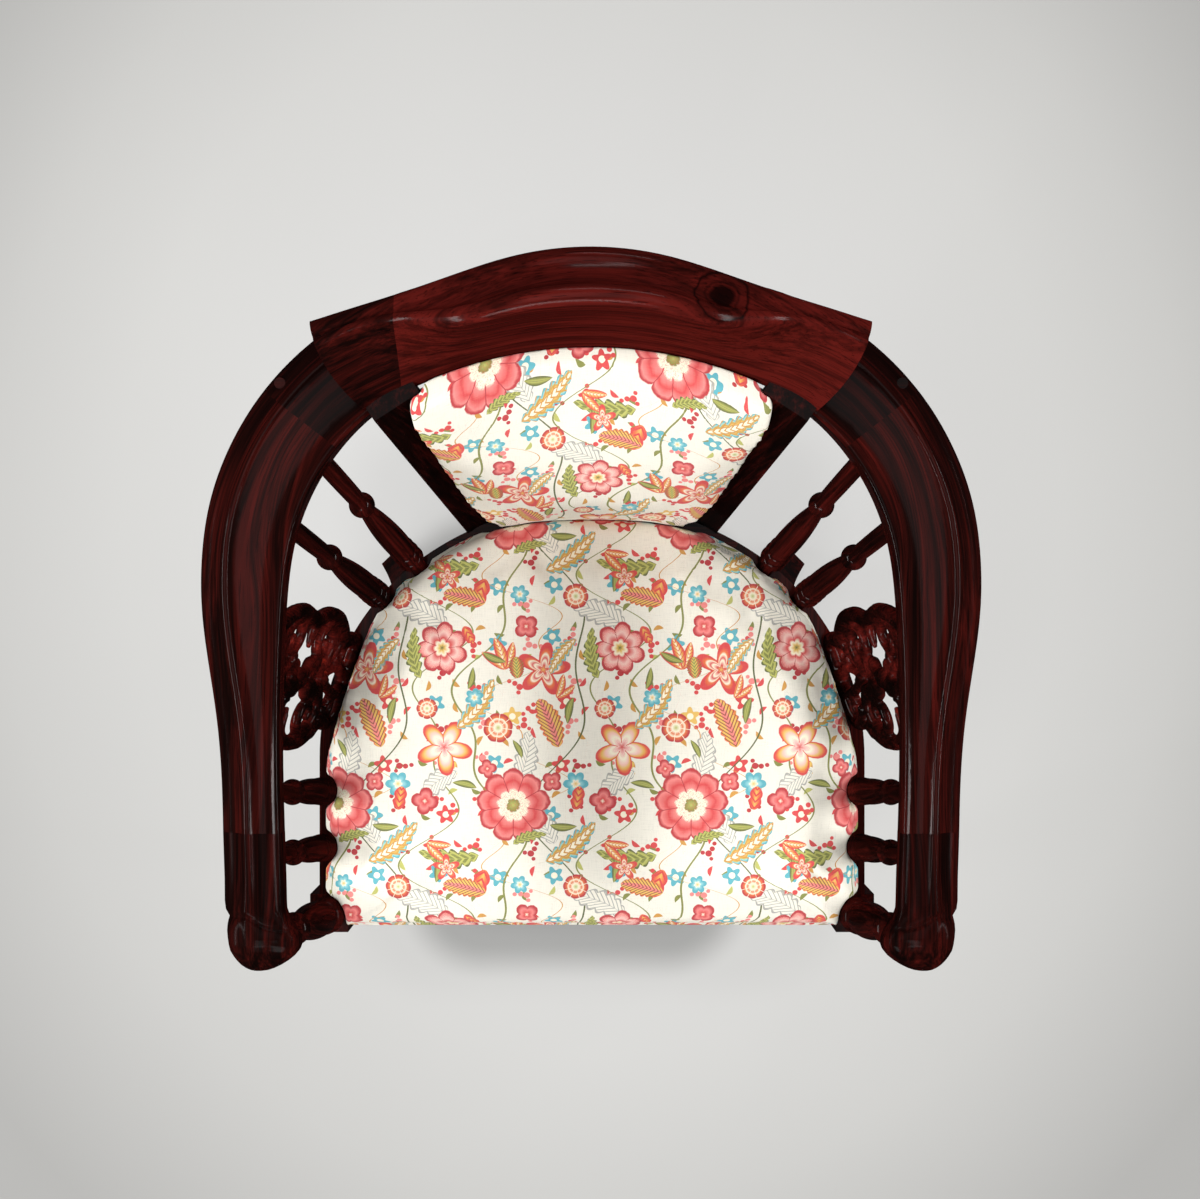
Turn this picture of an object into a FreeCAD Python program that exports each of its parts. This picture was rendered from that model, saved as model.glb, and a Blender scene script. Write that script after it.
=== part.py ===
import FreeCAD, Part
import math
import os

# Tub armchair with a moulded horseshoe arm bow, a raised crest, an upholstered seat and back pad.
# Millimetres, +Z up, the chair faces -Y. Left and right are as seen from the front: left is -X.
# The origin is on the floor under the middle of the outline.

V = FreeCAD.Vector
os.makedirs("parts", exist_ok=True)

# Whole chair
bow_half_width = 333.0
chair_half_depth = 300.0
arm_underside_z = 656.0
seat_rail_top_z = 425.0
fit_clearance = 0.2
cut_overrun = 5.0

# Arm bow: plan
bow_arc_centre_shares = (-0.234, 0.129)
bow_arc_reach_shares = (0.766, 0.85)
bow_back_outer_share = 0.98
bow_width = 81.5
bow_front_outer_shares = [0.944, 0.942, 0.946, 0.960, 0.990]
bow_front_y_shares = [-0.817, -0.657, -0.490, -0.283, -0.057]
bow_front_width_shares = [0.672, 0.635, 0.632, 0.683, 0.827]
bow_arc_angles = [180.0, 168.0, 156.0, 144.0, 132.0, 120.0, 112.0]
bow_arc_width_shares = [0.918, 0.960, 0.987, 1.0, 1.0, 0.987, 0.955]
bow_back_width_share = 0.767
front_scarf_share = -0.603
front_scarf_y = front_scarf_share * chair_half_depth
rear_scarf_angle = 142.2

# Arm bow: moulded section
bow_thickness = 42.0
bow_edge_round = 4.0
bow_bead_width = 8.0
bow_bead_height = 25.0
bow_ridge_inset = 20.0
bow_ridge_width = 7.0
bow_ridge_drop = 3.2
bow_cove_hollow = 4.5
bow_dish_depth = 2.5
bow_edge_round_share = 0.3

# Hand-hold at the front end of each arm
knuckle_centre_shares = (-0.838, -0.9005)
knuckle_half_width = 32.0
knuckle_half_length = 29.0
knuckle_drop = 10.0
knuckle_base_z = arm_underside_z - knuckle_drop
knuckle_height = 51.0
knuckle_rise_shares = [0.0, 0.14, 0.36, 0.62, 0.86, 1.0]
knuckle_size_shares = [0.62, 0.84, 0.98, 1.0, 0.90, 0.66]
knuckle_corner_share = 0.76

# Crest
crest_sink = 9.0
crest_seat_z = arm_underside_z + bow_thickness - crest_sink
crest_rise = 151.0
crest_x_shares = [0.0, 0.180, 0.315, 0.400, 0.480, 0.600, 0.720]
crest_front_y_shares = [0.770, 0.753, 0.718, 0.683, 0.644, 0.538, 0.350]
crest_back_y_shares = [1.0, 0.980, 0.940, 0.911, 0.885, 0.849, 0.813]
crest_ridge_rise_shares = [1.0, 0.975, 0.878, 0.757, 0.652, 0.558, 0.467]
crest_bead_rise_shares = [0.834, 0.788, 0.710, 0.655, 0.603, 0.523, 0.437]
crest_ridge_inset_shares = [1.0, 1.0, 0.94, 0.72, 0.50, 0.43, 0.41]
crest_ridge_inset = 42.0
crest_ridge_round_share = 0.20
crest_bead_width = 13.0
crest_bead_height = 20.0
crest_foot_inset = 16.0
crest_face_hollow = 3.0
crest_cove_hollow_share = 0.12
crest_front_lip = 1.5
crest_end_inner_shares = (0.5586, 0.575)
crest_end_middle_shares = (0.6577, 0.6993)
crest_end_outer_shares = (0.6952, 0.8233)
crest_joint_share = 0.4805
crest_joint_x = crest_joint_share * bow_half_width

# Seat frame: plan of the rails, a D with a round back
rail_flank_centre_shares = (-0.077, -0.4423)
rail_flank_reach_shares = (0.698, 0.775)
rail_side_share = 0.775
rail_back_share = 0.3595
rail_front_share = -0.96
rail_side_x = rail_side_share * bow_half_width
rail_back_y = rail_back_share * chair_half_depth
rail_front_y = rail_front_share * chair_half_depth
rail_shoulder_turn = 125.0
rail_thickness = 26.0
rail_height = 60.0
rail_joint_turn = 30.0
rail_tenon_length = 11.0
rail_tenon_width = 10.0
rail_tenon_height = 34.0
rail_tenon_rise = 8.0

# Front legs
leg_block = 36.0
leg_block_proud_side = 9.0
leg_block_proud_front = leg_block - rail_thickness
leg_block_height = 120.0
leg_block_bottom_z = seat_rail_top_z - leg_block_height
leg_turning_radius = 17.5
leg_rise_shares = [0.0, 0.10, 0.14, 0.18, 0.66, 0.72, 0.76, 0.80, 0.84, 0.93, 1.0]
leg_radius_shares = [0.62, 0.62, 0.50, 0.60, 0.86, 0.60, 0.84, 0.84, 0.60, 0.64, 0.88]
leg_bulge_shares = [0.86, 0.50, 0.62, 0.86, 0.66, 0.64, 1.0, 0.64, 0.92, 0.70]

# Rear legs: square section, curved outwards
rear_leg_turn = 134.4
rear_leg_side = 34.0
rear_leg_ankle = 26.0
rear_foot_reach = 32.0
rear_leg_tenon_radius = 10.0
rear_leg_tenon_length = 30.0
rear_leg_knee_share = 0.55

# Spindles between seat rail and arm bow: feet and heads on the left side
spindle_radius = 12.8
spindle_tenon_radius = 6.5
spindle_tenon_length = 14.0
post_foot_inset = 10.5
post_head_inset = 23.5
rear_spindle_foot_turns = [127.5, 138.9]
rear_spindle_head_turns = [146.4, 165.6]
front_spindle_foot_y_shares = [-0.548, -0.723]
front_spindle_head_shares = [(-0.856, -0.497), (-0.853, -0.682)]
spindle_rise_shares = [0.0, 0.11, 0.15, 0.19, 0.22, 0.50, 0.53, 0.585, 0.62, 1.0]
spindle_radius_shares = [0.68, 0.66, 0.80, 0.80, 0.93, 0.60, 0.72, 0.70, 0.62, 0.62]
spindle_bulge_shares = [0.64, 1.02, 1.02, 0.98, 0.90, 0.60, 0.92, 0.62, 0.66]

# Front balusters, which carry the hand-holds
baluster_radius = 17.5
baluster_foot_shift = 3.0
baluster_head_shift_side = 2.0
baluster_head_shift_front = 7.0
baluster_rise_shares = [0.0, 0.10, 0.14, 0.18, 0.22, 0.52, 0.56, 0.62, 0.66, 0.90, 1.0]
baluster_radius_shares = [0.66, 0.62, 0.80, 0.80, 0.92, 0.52, 0.66, 0.66, 0.52, 0.50, 0.62]
baluster_bulge_shares = [0.58, 0.98, 0.98, 0.90, 0.93, 0.54, 0.86, 0.52, 0.50, 0.54]

# Carved splats
splat_foot_turn = 161.0
splat_head_shares = (-0.871, -0.157)
splat_width = 138.0
splat_thickness = 18.0
splat_tenon_width = 70.0
splat_tenon_length = 10.0
splat_tenon_thickness = 8.0
splat_outline_shares = [
    (-0.34, 0.0), (-0.34, 0.10), (-0.28, 0.15), (-0.38, 0.21), (-0.48, 0.32), (-0.50, 0.46),
    (-0.42, 0.56), (-0.50, 0.68), (-0.46, 0.82), (-0.36, 0.90), (-0.36, 1.0),
    (0.36, 1.0), (0.36, 0.90), (0.46, 0.82), (0.50, 0.68), (0.42, 0.56),
    (0.50, 0.46), (0.48, 0.32), (0.38, 0.21), (0.28, 0.15), (0.34, 0.10), (0.34, 0.0)]
splat_hole_shares = [
    (-0.20, 0.20, 0.060), (0.20, 0.20, 0.060), (0.0, 0.32, 0.085), (-0.30, 0.36, 0.070),
    (0.30, 0.36, 0.070), (-0.17, 0.50, 0.080), (0.17, 0.50, 0.080), (0.0, 0.66, 0.085),
    (-0.31, 0.68, 0.065), (0.31, 0.68, 0.065), (-0.17, 0.83, 0.060), (0.17, 0.83, 0.060)]

# Back: two flat stiles, bottom rail, panels and pad
stile_foot_turn = 115.35
stile_head_shares = (-0.5435, 0.55)
stile_foot_rise = 5.0
stile_head_rise = 34.0
stile_lap_share = 0.617
stile_bottom_z = seat_rail_top_z - stile_lap_share * rail_height
stile_top_gap = 1.0
stile_width = 45.0
stile_depth = 28.0
stile_turn = 33.0
back_rail_rise = 15.0
back_rail_bottom_z = seat_rail_top_z + back_rail_rise
back_rail_height = 34.0
back_rail_depth = 20.0
back_panel_thickness = 5.0
back_outer_thickness = 3.0
back_cover_gap = 0.4
pad_foot_rise = 9.0
pad_bottom_z = seat_rail_top_z + pad_foot_rise
pad_top_z = arm_underside_z + bow_thickness - stile_top_gap
pad_width_shares = (0.2913, 0.4745)
pad_edge_y_shares = (0.3017, 0.613)
pad_foot_half_width, pad_head_half_width = [share * bow_half_width for share in pad_width_shares]
pad_foot_edge_y, pad_head_edge_y = [share * chair_half_depth for share in pad_edge_y_shares]
pad_rail_gap = 1.3
pad_bow_gap = 2.6
pad_foot_hollow = rail_back_y - pad_rail_gap - pad_foot_edge_y
pad_head_hollow = (bow_back_outer_share * chair_half_depth - bow_back_width_share * bow_width
                   - pad_bow_gap - pad_head_edge_y)
pad_rise_shares = [0.0, 0.10, 0.30, 0.60, 0.88, 1.0]
pad_bulge_shares = [0.30, 0.72, 1.0, 0.88, 0.48, 0.16]
pad_inset_shares = [1.0, 0.36, 0.0, 0.0, 0.10, 0.50]
pad_bulge = 26.0
pad_inset = 14.0
pad_edge_depth = 9.0
pad_head_edge_extra = 8.0
pad_head_middle_extra = 5.0
cover_thickness = 1.5

# Seat: board, foam and cover
seat_board_thickness = 12.0
seat_board_clearance = 0.5
seat_edge_inset = 6.0
seat_front_overhang = 3.0
seat_corner_radius = 22.0
seat_crown = 46.0
seat_post_clearance = 1.0
seat_rise_shares = [0.0, 0.20, 0.46, 0.70, 0.86, 0.96, 1.0]
seat_inset_shares = [0.035, 0.0, 0.005, 0.10, 0.26, 0.50, 0.80]
seat_inset_span = 105.0

# Corner blocks, dowels, screws and plugs
corner_block_leg = 52.0
corner_block_height = 36.0
dowel_radius = 5.0
dowel_length = 32.0
dowel_spacing = 26.0
scarf_dowel_shift = 6.0
screw_shank_radius = 2.2
screw_head_radius = 4.2
screw_head_height = 3.0
stile_screw_length = 34.0
stile_screw_drops = [29.0, 11.0]
seat_screw_bite = 8.0
plug_radius = 4.8
plug_length = 7.0
plug_turn = 139.0
lining_thickness = 1.2
lining_lap = 12.0


def left_to_right(shape):
    """The mirror image of a left piece, for the right side."""
    return shape.mirror(V(0, 0, 0), V(1, 0, 0))


def save(name, shape):
    """One STEP file for one node."""
    shape.exportStep("parts/%s.step" % name)


def save_pair(name, shape):
    """A left piece and its mirror image on the right."""
    save(name + "_left", shape)
    save(name + "_right", left_to_right(shape))


def along(start, end, share):
    """The point at a share of the way from start to end."""
    return start + (end - start) * share


def turned_direction(degrees):
    """A level unit direction, counted from +X towards +Y."""
    angle = math.radians(degrees)
    return V(math.cos(angle), math.sin(angle), 0)


def plan(x_share, y_share):
    """A point on the floor plan, placed by shares of the chair's half width and half depth."""
    return V(x_share * bow_half_width, y_share * chair_half_depth, 0)


def plan_arc_point(centre_shares, reach_shares, degrees, inset):
    """A point on a round stretch of the plan, drawn in by an inset, with the direction out of the chair."""
    reach = plan(*reach_shares)
    turn = turned_direction(degrees)
    on_arc = plan(*centre_shares) + V(reach.x * turn.x, reach.y * turn.y, 0)
    outward = V(turn.x / reach.x, turn.y / reach.y, 0).normalize()
    return on_arc - outward * inset, outward


def bow_arc_point(degrees, inset):
    """A point on the left round stretch of the arm bow."""
    return plan_arc_point(bow_arc_centre_shares, bow_arc_reach_shares, degrees, inset)


def flank_point(degrees, inset):
    """A point on the left round flank of the seat rails."""
    return plan_arc_point(rail_flank_centre_shares, rail_flank_reach_shares, degrees, inset)


def arc(start, middle, end):
    """An arc edge through three points."""
    return Part.Arc(start, middle, end).toShape()


def line(start, end):
    """A straight edge."""
    return Part.LineSegment(start, end).toShape()


def polygon_face(points):
    """A flat face inside a closed run of points."""
    return Part.Face(Part.makePolygon(points + [points[0]]))


def rod(start, end, radius):
    """A round bar between two points."""
    return Part.makeCylinder(radius, (end - start).Length, start, end - start)


def slab(low_z, high_z):
    """Everything between two levels, wider than the chair."""
    reach = bow_half_width + chair_half_depth
    return Part.makeBox(reach + reach, reach + reach, high_z - low_z, V(-reach, -reach, low_z))


def turning(foot, head, max_radius, rises, radii, bulges):
    """A lathe-turned member on the line from foot to head: arcs between rings, each through its bulge."""
    axis = head - foot
    length = axis.Length
    edges = []
    points = [V(radius * max_radius, 0, rise * length) for rise, radius in zip(rises, radii)]
    edges.append(line(V(0, 0, 0), points[0]))
    for start, end, bulge in zip(points, points[1:], bulges):
        middle = V(bulge * max_radius, 0, (start.z + end.z) / 2)
        edges.append(arc(start, middle, end))
    edges.append(line(points[-1], V(0, 0, length)))
    edges.append(line(V(0, 0, length), V(0, 0, 0)))
    body = Part.Face(Part.Wire(edges)).revolve(V(0, 0, 0), V(0, 0, 1), 360)
    body.Placement = FreeCAD.Placement(foot, FreeCAD.Rotation(V(0, 0, 1), axis))
    return body


def bow_stations():
    """Outer point, outward direction and width at each section of the bow, from left front to right front."""
    left = []
    for outer, y, width in zip(bow_front_outer_shares, bow_front_y_shares, bow_front_width_shares):
        left.append((plan(-outer, y), V(-1, 0, 0), width * bow_width))
    for degrees, width in zip(bow_arc_angles, bow_arc_width_shares):
        point, outward = bow_arc_point(degrees, 0)
        left.append((point, outward, width * bow_width))
    middle = [(plan(0, bow_back_outer_share), V(0, 1, 0), bow_back_width_share * bow_width)]
    right = [(V(-p.x, p.y, 0), V(-n.x, n.y, 0), w) for p, n, w in reversed(left)]
    return left + middle + right


def bow_section(outer, outward, width):
    """The moulded section of the bow: outer bead, cove, ridge and dished inner top."""
    def at(reach, height):
        return outer + outward * (reach - width) + V(0, 0, arm_underside_z + height)

    top = bow_thickness
    soft = bow_edge_round * bow_edge_round_share
    ridge_outer = width - bow_ridge_inset
    ridge_inner = ridge_outer - bow_ridge_width
    bead_inner = width - bow_bead_width
    a = at(bow_edge_round, 0)
    b = at(bead_inner, 0)
    c = at(bead_inner, bow_bead_height)
    d = at(ridge_outer, top - bow_ridge_drop)
    e = at(ridge_inner, top - bow_ridge_drop / 2)
    f = at(bow_edge_round, top - bow_ridge_drop)
    g = at(0, top - bow_ridge_drop - bow_edge_round)
    h = at(0, bow_edge_round)
    edges = [
        line(a, b),
        arc(b, at(width, bow_bead_height / 2), c),
        arc(c, at((bead_inner + ridge_outer) / 2, (bow_bead_height + top) / 2 - bow_cove_hollow), d),
        arc(d, at((ridge_outer + ridge_inner) / 2, top), e),
        arc(e, at((ridge_inner + bow_edge_round) / 2, top - bow_ridge_drop - bow_dish_depth), f),
        arc(f, at(soft, top - bow_ridge_drop - soft), g),
        line(g, h),
        arc(h, at(soft, soft), a)]
    return Part.Wire(edges)


def whole_bow():
    """The whole horseshoe before it is cut into its timbers."""
    return Part.makeLoft([bow_section(*station) for station in bow_stations()], True, False)


def knuckle():
    """The rounded hand-hold at the left front end."""
    wires = []
    for rise, size in zip(knuckle_rise_shares, knuckle_size_shares):
        half_x = knuckle_half_width * size
        half_y = knuckle_half_length * size
        centre = plan(*knuckle_centre_shares) + V(0, 0, knuckle_base_z + rise * knuckle_height)
        tips = [V(half_x, 0, 0), V(0, half_y, 0), V(-half_x, 0, 0), V(0, -half_y, 0)]
        edges = []
        for start, end in zip(tips, tips[1:] + tips[:1]):
            edges.append(arc(centre + start, centre + (start + end) * knuckle_corner_share, centre + end))
        wires.append(Part.Wire(edges))
    return Part.makeLoft(wires, True, False)


def back_wedge():
    """The space behind both rear joints of the bow."""
    near, outward = bow_arc_point(rear_scarf_angle, plan(*bow_arc_reach_shares).x)
    reach = bow_half_width + chair_half_depth
    far = near + outward * reach
    points = [near, far, V(far.x, reach, 0), V(-far.x, reach, 0), V(-far.x, far.y, 0), V(-near.x, near.y, 0)]
    return polygon_face(points).extrude(V(0, 0, reach + reach))


def front_box():
    """The space in front of the front joints of the bow."""
    reach = bow_half_width + chair_half_depth
    return Part.makeBox(reach + reach, reach + front_scarf_y, reach + reach, V(-reach, -reach, 0))


def left_box():
    """The left half of space."""
    reach = bow_half_width + chair_half_depth
    return Part.makeBox(reach, reach + reach, reach + reach, V(-reach, -reach, 0))


def crest_section(x, front_y, back_y, ridge_z, bead_z, ridge_inset):
    """Section of the crest in an upright plane: hollow front face, ridge, cove, bead and back."""
    def at(y, z):
        return V(x, y, z)

    ridge_y = back_y - ridge_inset
    ridge_round = ridge_inset * crest_ridge_round_share
    a = at(front_y, crest_seat_z)
    b = at(ridge_y - ridge_round, ridge_z - ridge_round / 2)
    c = at(ridge_y + ridge_round, ridge_z - ridge_round / 2)
    d = at(back_y - crest_bead_width, bead_z)
    e = at(back_y - crest_bead_width / 2, bead_z - crest_bead_height)
    f = at(back_y - crest_foot_inset, crest_seat_z)
    face_middle = along(a, b, 0.5) + V(0, crest_face_hollow, 0)
    cove_middle = along(c, d, 0.5) - V(0, 0, ridge_inset * crest_cove_hollow_share)
    bead_middle = at(back_y, bead_z - crest_bead_height / 2)
    edges = [arc(a, face_middle, b), arc(b, at(ridge_y, ridge_z), c), arc(c, cove_middle, d),
             arc(d, bead_middle, e), line(e, f), line(f, a)]
    return Part.Wire(edges)


def crest_end_prism():
    """Upright prism over the plan of the crest, with its curved ends."""
    inner, middle, outer = [plan(x, y) for x, y in (crest_end_inner_shares, crest_end_middle_shares,
                                                    crest_end_outer_shares)]
    back_y = chair_half_depth + cut_overrun
    front_y = inner.y / 2
    inner_left, middle_left, outer_left = [V(-p.x, p.y, 0) for p in (inner, middle, outer)]
    edges = [arc(inner_left, middle_left, outer_left), line(outer_left, V(outer_left.x, back_y, 0)),
             line(V(outer_left.x, back_y, 0), V(outer.x, back_y, 0)),
             line(V(outer.x, back_y, 0), outer), arc(outer, middle, inner),
             line(inner, V(inner.x, front_y, 0)), line(V(inner.x, front_y, 0), V(inner_left.x, front_y, 0)),
             line(V(inner_left.x, front_y, 0), inner_left)]
    return Part.Face(Part.Wire(edges)).extrude(V(0, 0, crest_seat_z + crest_rise + cut_overrun))


def whole_crest():
    """The crest before it is cut into its three timbers."""
    rows = list(zip(crest_x_shares, crest_front_y_shares, crest_back_y_shares, crest_ridge_rise_shares,
                    crest_bead_rise_shares, crest_ridge_inset_shares))
    half = [(-x * bow_half_width, f * chair_half_depth - crest_front_lip, b * chair_half_depth,
             crest_seat_z + r * crest_rise, crest_seat_z + e * crest_rise, i * crest_ridge_inset)
            for x, f, b, r, e, i in rows]
    right = [(-x, f, b, r, e, i) for x, f, b, r, e, i in half[1:]]
    wires = [crest_section(*row) for row in list(reversed(half)) + right]
    return Part.makeLoft(wires, True, False).common(crest_end_prism())


def back_arc():
    """Centre and radius of the arc behind the seat, from one flank to the other."""
    shoulder, outward = flank_point(rail_shoulder_turn, 0)
    drop = rail_back_y - shoulder.y
    radius = (shoulder.x ** 2 + drop ** 2) / (drop * 2)
    return V(0, rail_back_y - radius, 0), radius


def seat_outline(inset, level, front_y, corner):
    """The D outline of the seat at one level, drawn in by an inset, with rounded front corners."""
    side_x = -rail_side_x + inset
    up = V(0, 0, level)
    corner_centre = V(side_x + corner, front_y + corner, 0)
    corner_middle = corner_centre + V(-corner, -corner, 0).normalize() * corner
    side_low = V(side_x, front_y + corner, 0) + up
    side_high, flank_middle, shoulder = [flank_point(turn, inset)[0] + up for turn in
                                         (180, (180 + rail_shoulder_turn) / 2, rail_shoulder_turn)]
    front = V(side_x + corner, front_y, 0) + up

    def flip(point):
        return V(-point.x, point.y, point.z)

    edges = [line(side_low, side_high), arc(side_high, flank_middle, shoulder),
             arc(shoulder, V(0, rail_back_y - inset, level), flip(shoulder)),
             arc(flip(shoulder), flip(flank_middle), flip(side_high)),
             line(flip(side_high), flip(side_low)),
             arc(flip(side_low), flip(corner_middle + up), flip(front)),
             line(flip(front), front), arc(front, corner_middle + up, side_low)]
    return Part.Wire(edges)


def seat_ring():
    """All the seat rails as one ring, before the joints are cut."""
    level = seat_rail_top_z - rail_height
    outer = Part.Face(seat_outline(0, level, rail_front_y, fit_clearance)).extrude(V(0, 0, rail_height))
    inner = Part.Face(seat_outline(rail_thickness, level, rail_front_y + rail_thickness, fit_clearance))
    return outer.cut(inner.extrude(V(0, 0, rail_height)))


def leg_block_corner():
    """Low corner of the left front leg block."""
    return V(-rail_side_x - leg_block_proud_side, rail_front_y - leg_block_proud_front, leg_block_bottom_z)


def leg_block_shape():
    """The square top of the left front leg."""
    return Part.makeBox(leg_block, leg_block, seat_rail_top_z - leg_block_bottom_z, leg_block_corner())


def rail_tenons():
    """Tenons of the left side rail and the front rail in the left front leg."""
    corner = leg_block_corner()
    block_back = corner.y + leg_block
    block_inner = corner.x + leg_block
    low_z = seat_rail_top_z - rail_height + rail_tenon_rise
    side_x = -rail_side_x + (rail_thickness - rail_tenon_width) / 4
    side = Part.makeBox(rail_tenon_width, rail_tenon_length + cut_overrun, rail_tenon_height,
                        V(side_x, block_back - rail_tenon_length, low_z))
    front_y = rail_front_y + (rail_thickness - rail_tenon_width) / 4
    front = Part.makeBox(rail_tenon_length + cut_overrun, rail_tenon_width, rail_tenon_height,
                         V(block_inner - rail_tenon_length, front_y, low_z))
    return side, front


def rail_joint_wedge():
    """The space behind the two rear joints of the seat rails."""
    centre, radius = back_arc()
    reach = radius + radius
    left = centre + turned_direction(90 + rail_joint_turn) * reach
    back_y = centre.y + reach
    points = [centre, left, V(left.x, back_y, 0), V(-left.x, back_y, 0), V(-left.x, left.y, 0)]
    return polygon_face(points).extrude(V(0, 0, seat_rail_top_z + cut_overrun))


def front_leg():
    """Left front leg: square block above, lathe-turned below."""
    corner = leg_block_corner()
    middle = V(leg_block / 2, leg_block / 2, 0)
    neck = corner + middle
    foot = V(neck.x, neck.y, 0)
    turned = turning(foot, neck, leg_turning_radius, leg_rise_shares, leg_radius_shares, leg_bulge_shares)
    return leg_block_shape().fuse(turned).removeSplitter()


def rear_leg():
    """Left rear leg: square section, swept outwards to the floor, with a round tenon into the rail."""
    head, outward = flank_point(rear_leg_turn, rail_thickness / 2)
    sideways = V(-outward.y, outward.x, 0)
    head_z = seat_rail_top_z - rail_height
    foot_shift = rear_foot_reach + rail_thickness / 2
    half_head = rail_thickness / 2
    half_foot = rear_leg_side / 2
    half_ankle = rear_leg_ankle / 2

    def at(reach, height):
        return head + outward * reach + V(0, 0, height)

    knee_z = head_z * rear_leg_knee_share
    knee = foot_shift * (1 - rear_leg_knee_share) / 2
    edges = [line(at(-half_head, head_z), at(half_head, head_z)),
             arc(at(half_head, head_z), at(knee + half_ankle, knee_z), at(foot_shift + half_foot, 0)),
             line(at(foot_shift + half_foot, 0), at(foot_shift - half_foot, 0)),
             arc(at(foot_shift - half_foot, 0), at(knee - half_ankle, knee_z), at(-half_head, head_z))]
    body = Part.Face(Part.Wire(edges)).extrude(sideways * rear_leg_side)
    body.translate(sideways * (-rear_leg_side / 2))
    tenon = rod(at(0, head_z - cut_overrun), at(0, head_z + rear_leg_tenon_length), rear_leg_tenon_radius)
    return body.fuse(tenon).removeSplitter(), at(0, head_z)


def post_places():
    """Name, foot and head of each turned post on the left: feet on the seat rail, heads under the arm."""
    up = V(0, 0, seat_rail_top_z)
    arm = V(0, 0, arm_underside_z)
    feet = [flank_point(turn, post_foot_inset)[0] + up for turn in rear_spindle_foot_turns]
    heads = [bow_arc_point(turn, bow_width - post_head_inset)[0] + arm for turn in rear_spindle_head_turns]
    feet += [V(post_foot_inset - rail_side_x, y * chair_half_depth, seat_rail_top_z)
             for y in front_spindle_foot_y_shares]
    heads += [plan(*shares) + arm for shares in front_spindle_head_shares]
    names = ["spindle_back_inner", "spindle_back_outer", "spindle_front_inner", "spindle_front_outer"]
    return list(zip(names, feet, heads))


def baluster_place():
    """Foot on the left leg block and head under the hand-hold."""
    block_middle = leg_block_corner() + V(leg_block / 2, leg_block / 2, 0)
    foot = V(block_middle.x + baluster_foot_shift, block_middle.y, seat_rail_top_z)
    hand = plan(*knuckle_centre_shares)
    return foot, V(hand.x - baluster_head_shift_side, hand.y - baluster_head_shift_front, knuckle_base_z)


def post(foot, head, radius, rises, radii, bulges):
    """A turned post trimmed level at rail and arm, with a round tenon at each end."""
    direction = (head - foot).normalize()
    overrun = direction * cut_overrun
    body = turning(foot - overrun, head + overrun, radius, rises, radii, bulges)
    body = body.common(slab(foot.z, head.z))
    tenon = rod(foot - direction * spindle_tenon_length, head + direction * spindle_tenon_length,
                spindle_tenon_radius)
    return body.fuse(tenon).removeSplitter()


def post_socket(foot, head):
    """The bore that takes both tenons of a post."""
    direction = (head - foot).normalize()
    depth = spindle_tenon_length + fit_clearance
    return rod(foot - direction * depth, head + direction * depth, spindle_tenon_radius + fit_clearance / 2)


def splat_frame():
    """Foot point, sideways direction, rise vector and face normal of the left splat."""
    foot, outward = flank_point(splat_foot_turn, post_foot_inset)
    foot.z = seat_rail_top_z
    head = plan(*splat_head_shares) + V(0, 0, arm_underside_z)
    sideways = V(outward.y, -outward.x, 0)
    rise = head - foot
    normal = rise.cross(sideways).normalize()
    return foot, sideways, rise, normal


def splat():
    """Left carved splat: pierced board with a stub tenon at each end."""
    foot, sideways, rise, normal = splat_frame()
    half = normal * (splat_thickness / 2)
    points = [foot + sideways * (s * splat_width) + rise * h - half for s, h in splat_outline_shares]
    board = polygon_face(points).extrude(half + half)
    for s, h, size in splat_hole_shares:
        centre = foot + sideways * (s * splat_width) + rise * h
        board = board.cut(rod(centre - normal * splat_thickness, centre + normal * splat_thickness,
                              size * splat_width))
    board = board.common(slab(foot.z, foot.z + rise.z))
    return board.fuse(splat_tenon(0)).removeSplitter()


def splat_tenon(extra):
    """The stub tenons of the splat, grown by a clearance when they cut their mortises."""
    foot, sideways, rise, normal = splat_frame()
    direction = V(rise.x, rise.y, rise.z).normalize()
    half_width = sideways * (splat_tenon_width / 2 + extra)
    half = normal * (splat_tenon_thickness / 2 + extra)
    inward = direction * cut_overrun
    outward = direction * (splat_tenon_length + extra)
    shapes = []
    for end, way in ((foot, -1), (foot + rise, 1)):
        near = end - inward * way
        far = end + outward * way
        face = polygon_face([near - half_width - half, near + half_width - half,
                             near + half_width + half, near - half_width + half])
        shapes.append(face.extrude(far - near))
    return shapes[0].fuse(shapes[1])


def stile_edge():
    """Two points on the outer front edge of the left stile, at the seat rail and at the bow."""
    centre, radius = back_arc()
    foot = centre + turned_direction(stile_foot_turn) * radius + V(0, 0, seat_rail_top_z + stile_foot_rise)
    head = plan(*stile_head_shares) + V(0, 0, arm_underside_z + stile_head_rise)
    return foot, head


def stile_blank():
    """Left back stile before it is notched over the seat rail and the bow."""
    foot, head = stile_edge()
    stile_top_z = arm_underside_z + bow_thickness - stile_top_gap
    sideways = turned_direction(stile_turn)
    outward = turned_direction(90 + stile_turn)
    run = head - foot
    low = along(foot, head, (stile_bottom_z - foot.z) / run.z)
    high = along(foot, head, (stile_top_z - foot.z) / run.z)
    across = sideways * stile_width
    deep = outward * stile_depth
    face = polygon_face([low, low + across, low + across + deep, low + deep])
    return face.extrude(high - low)


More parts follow.
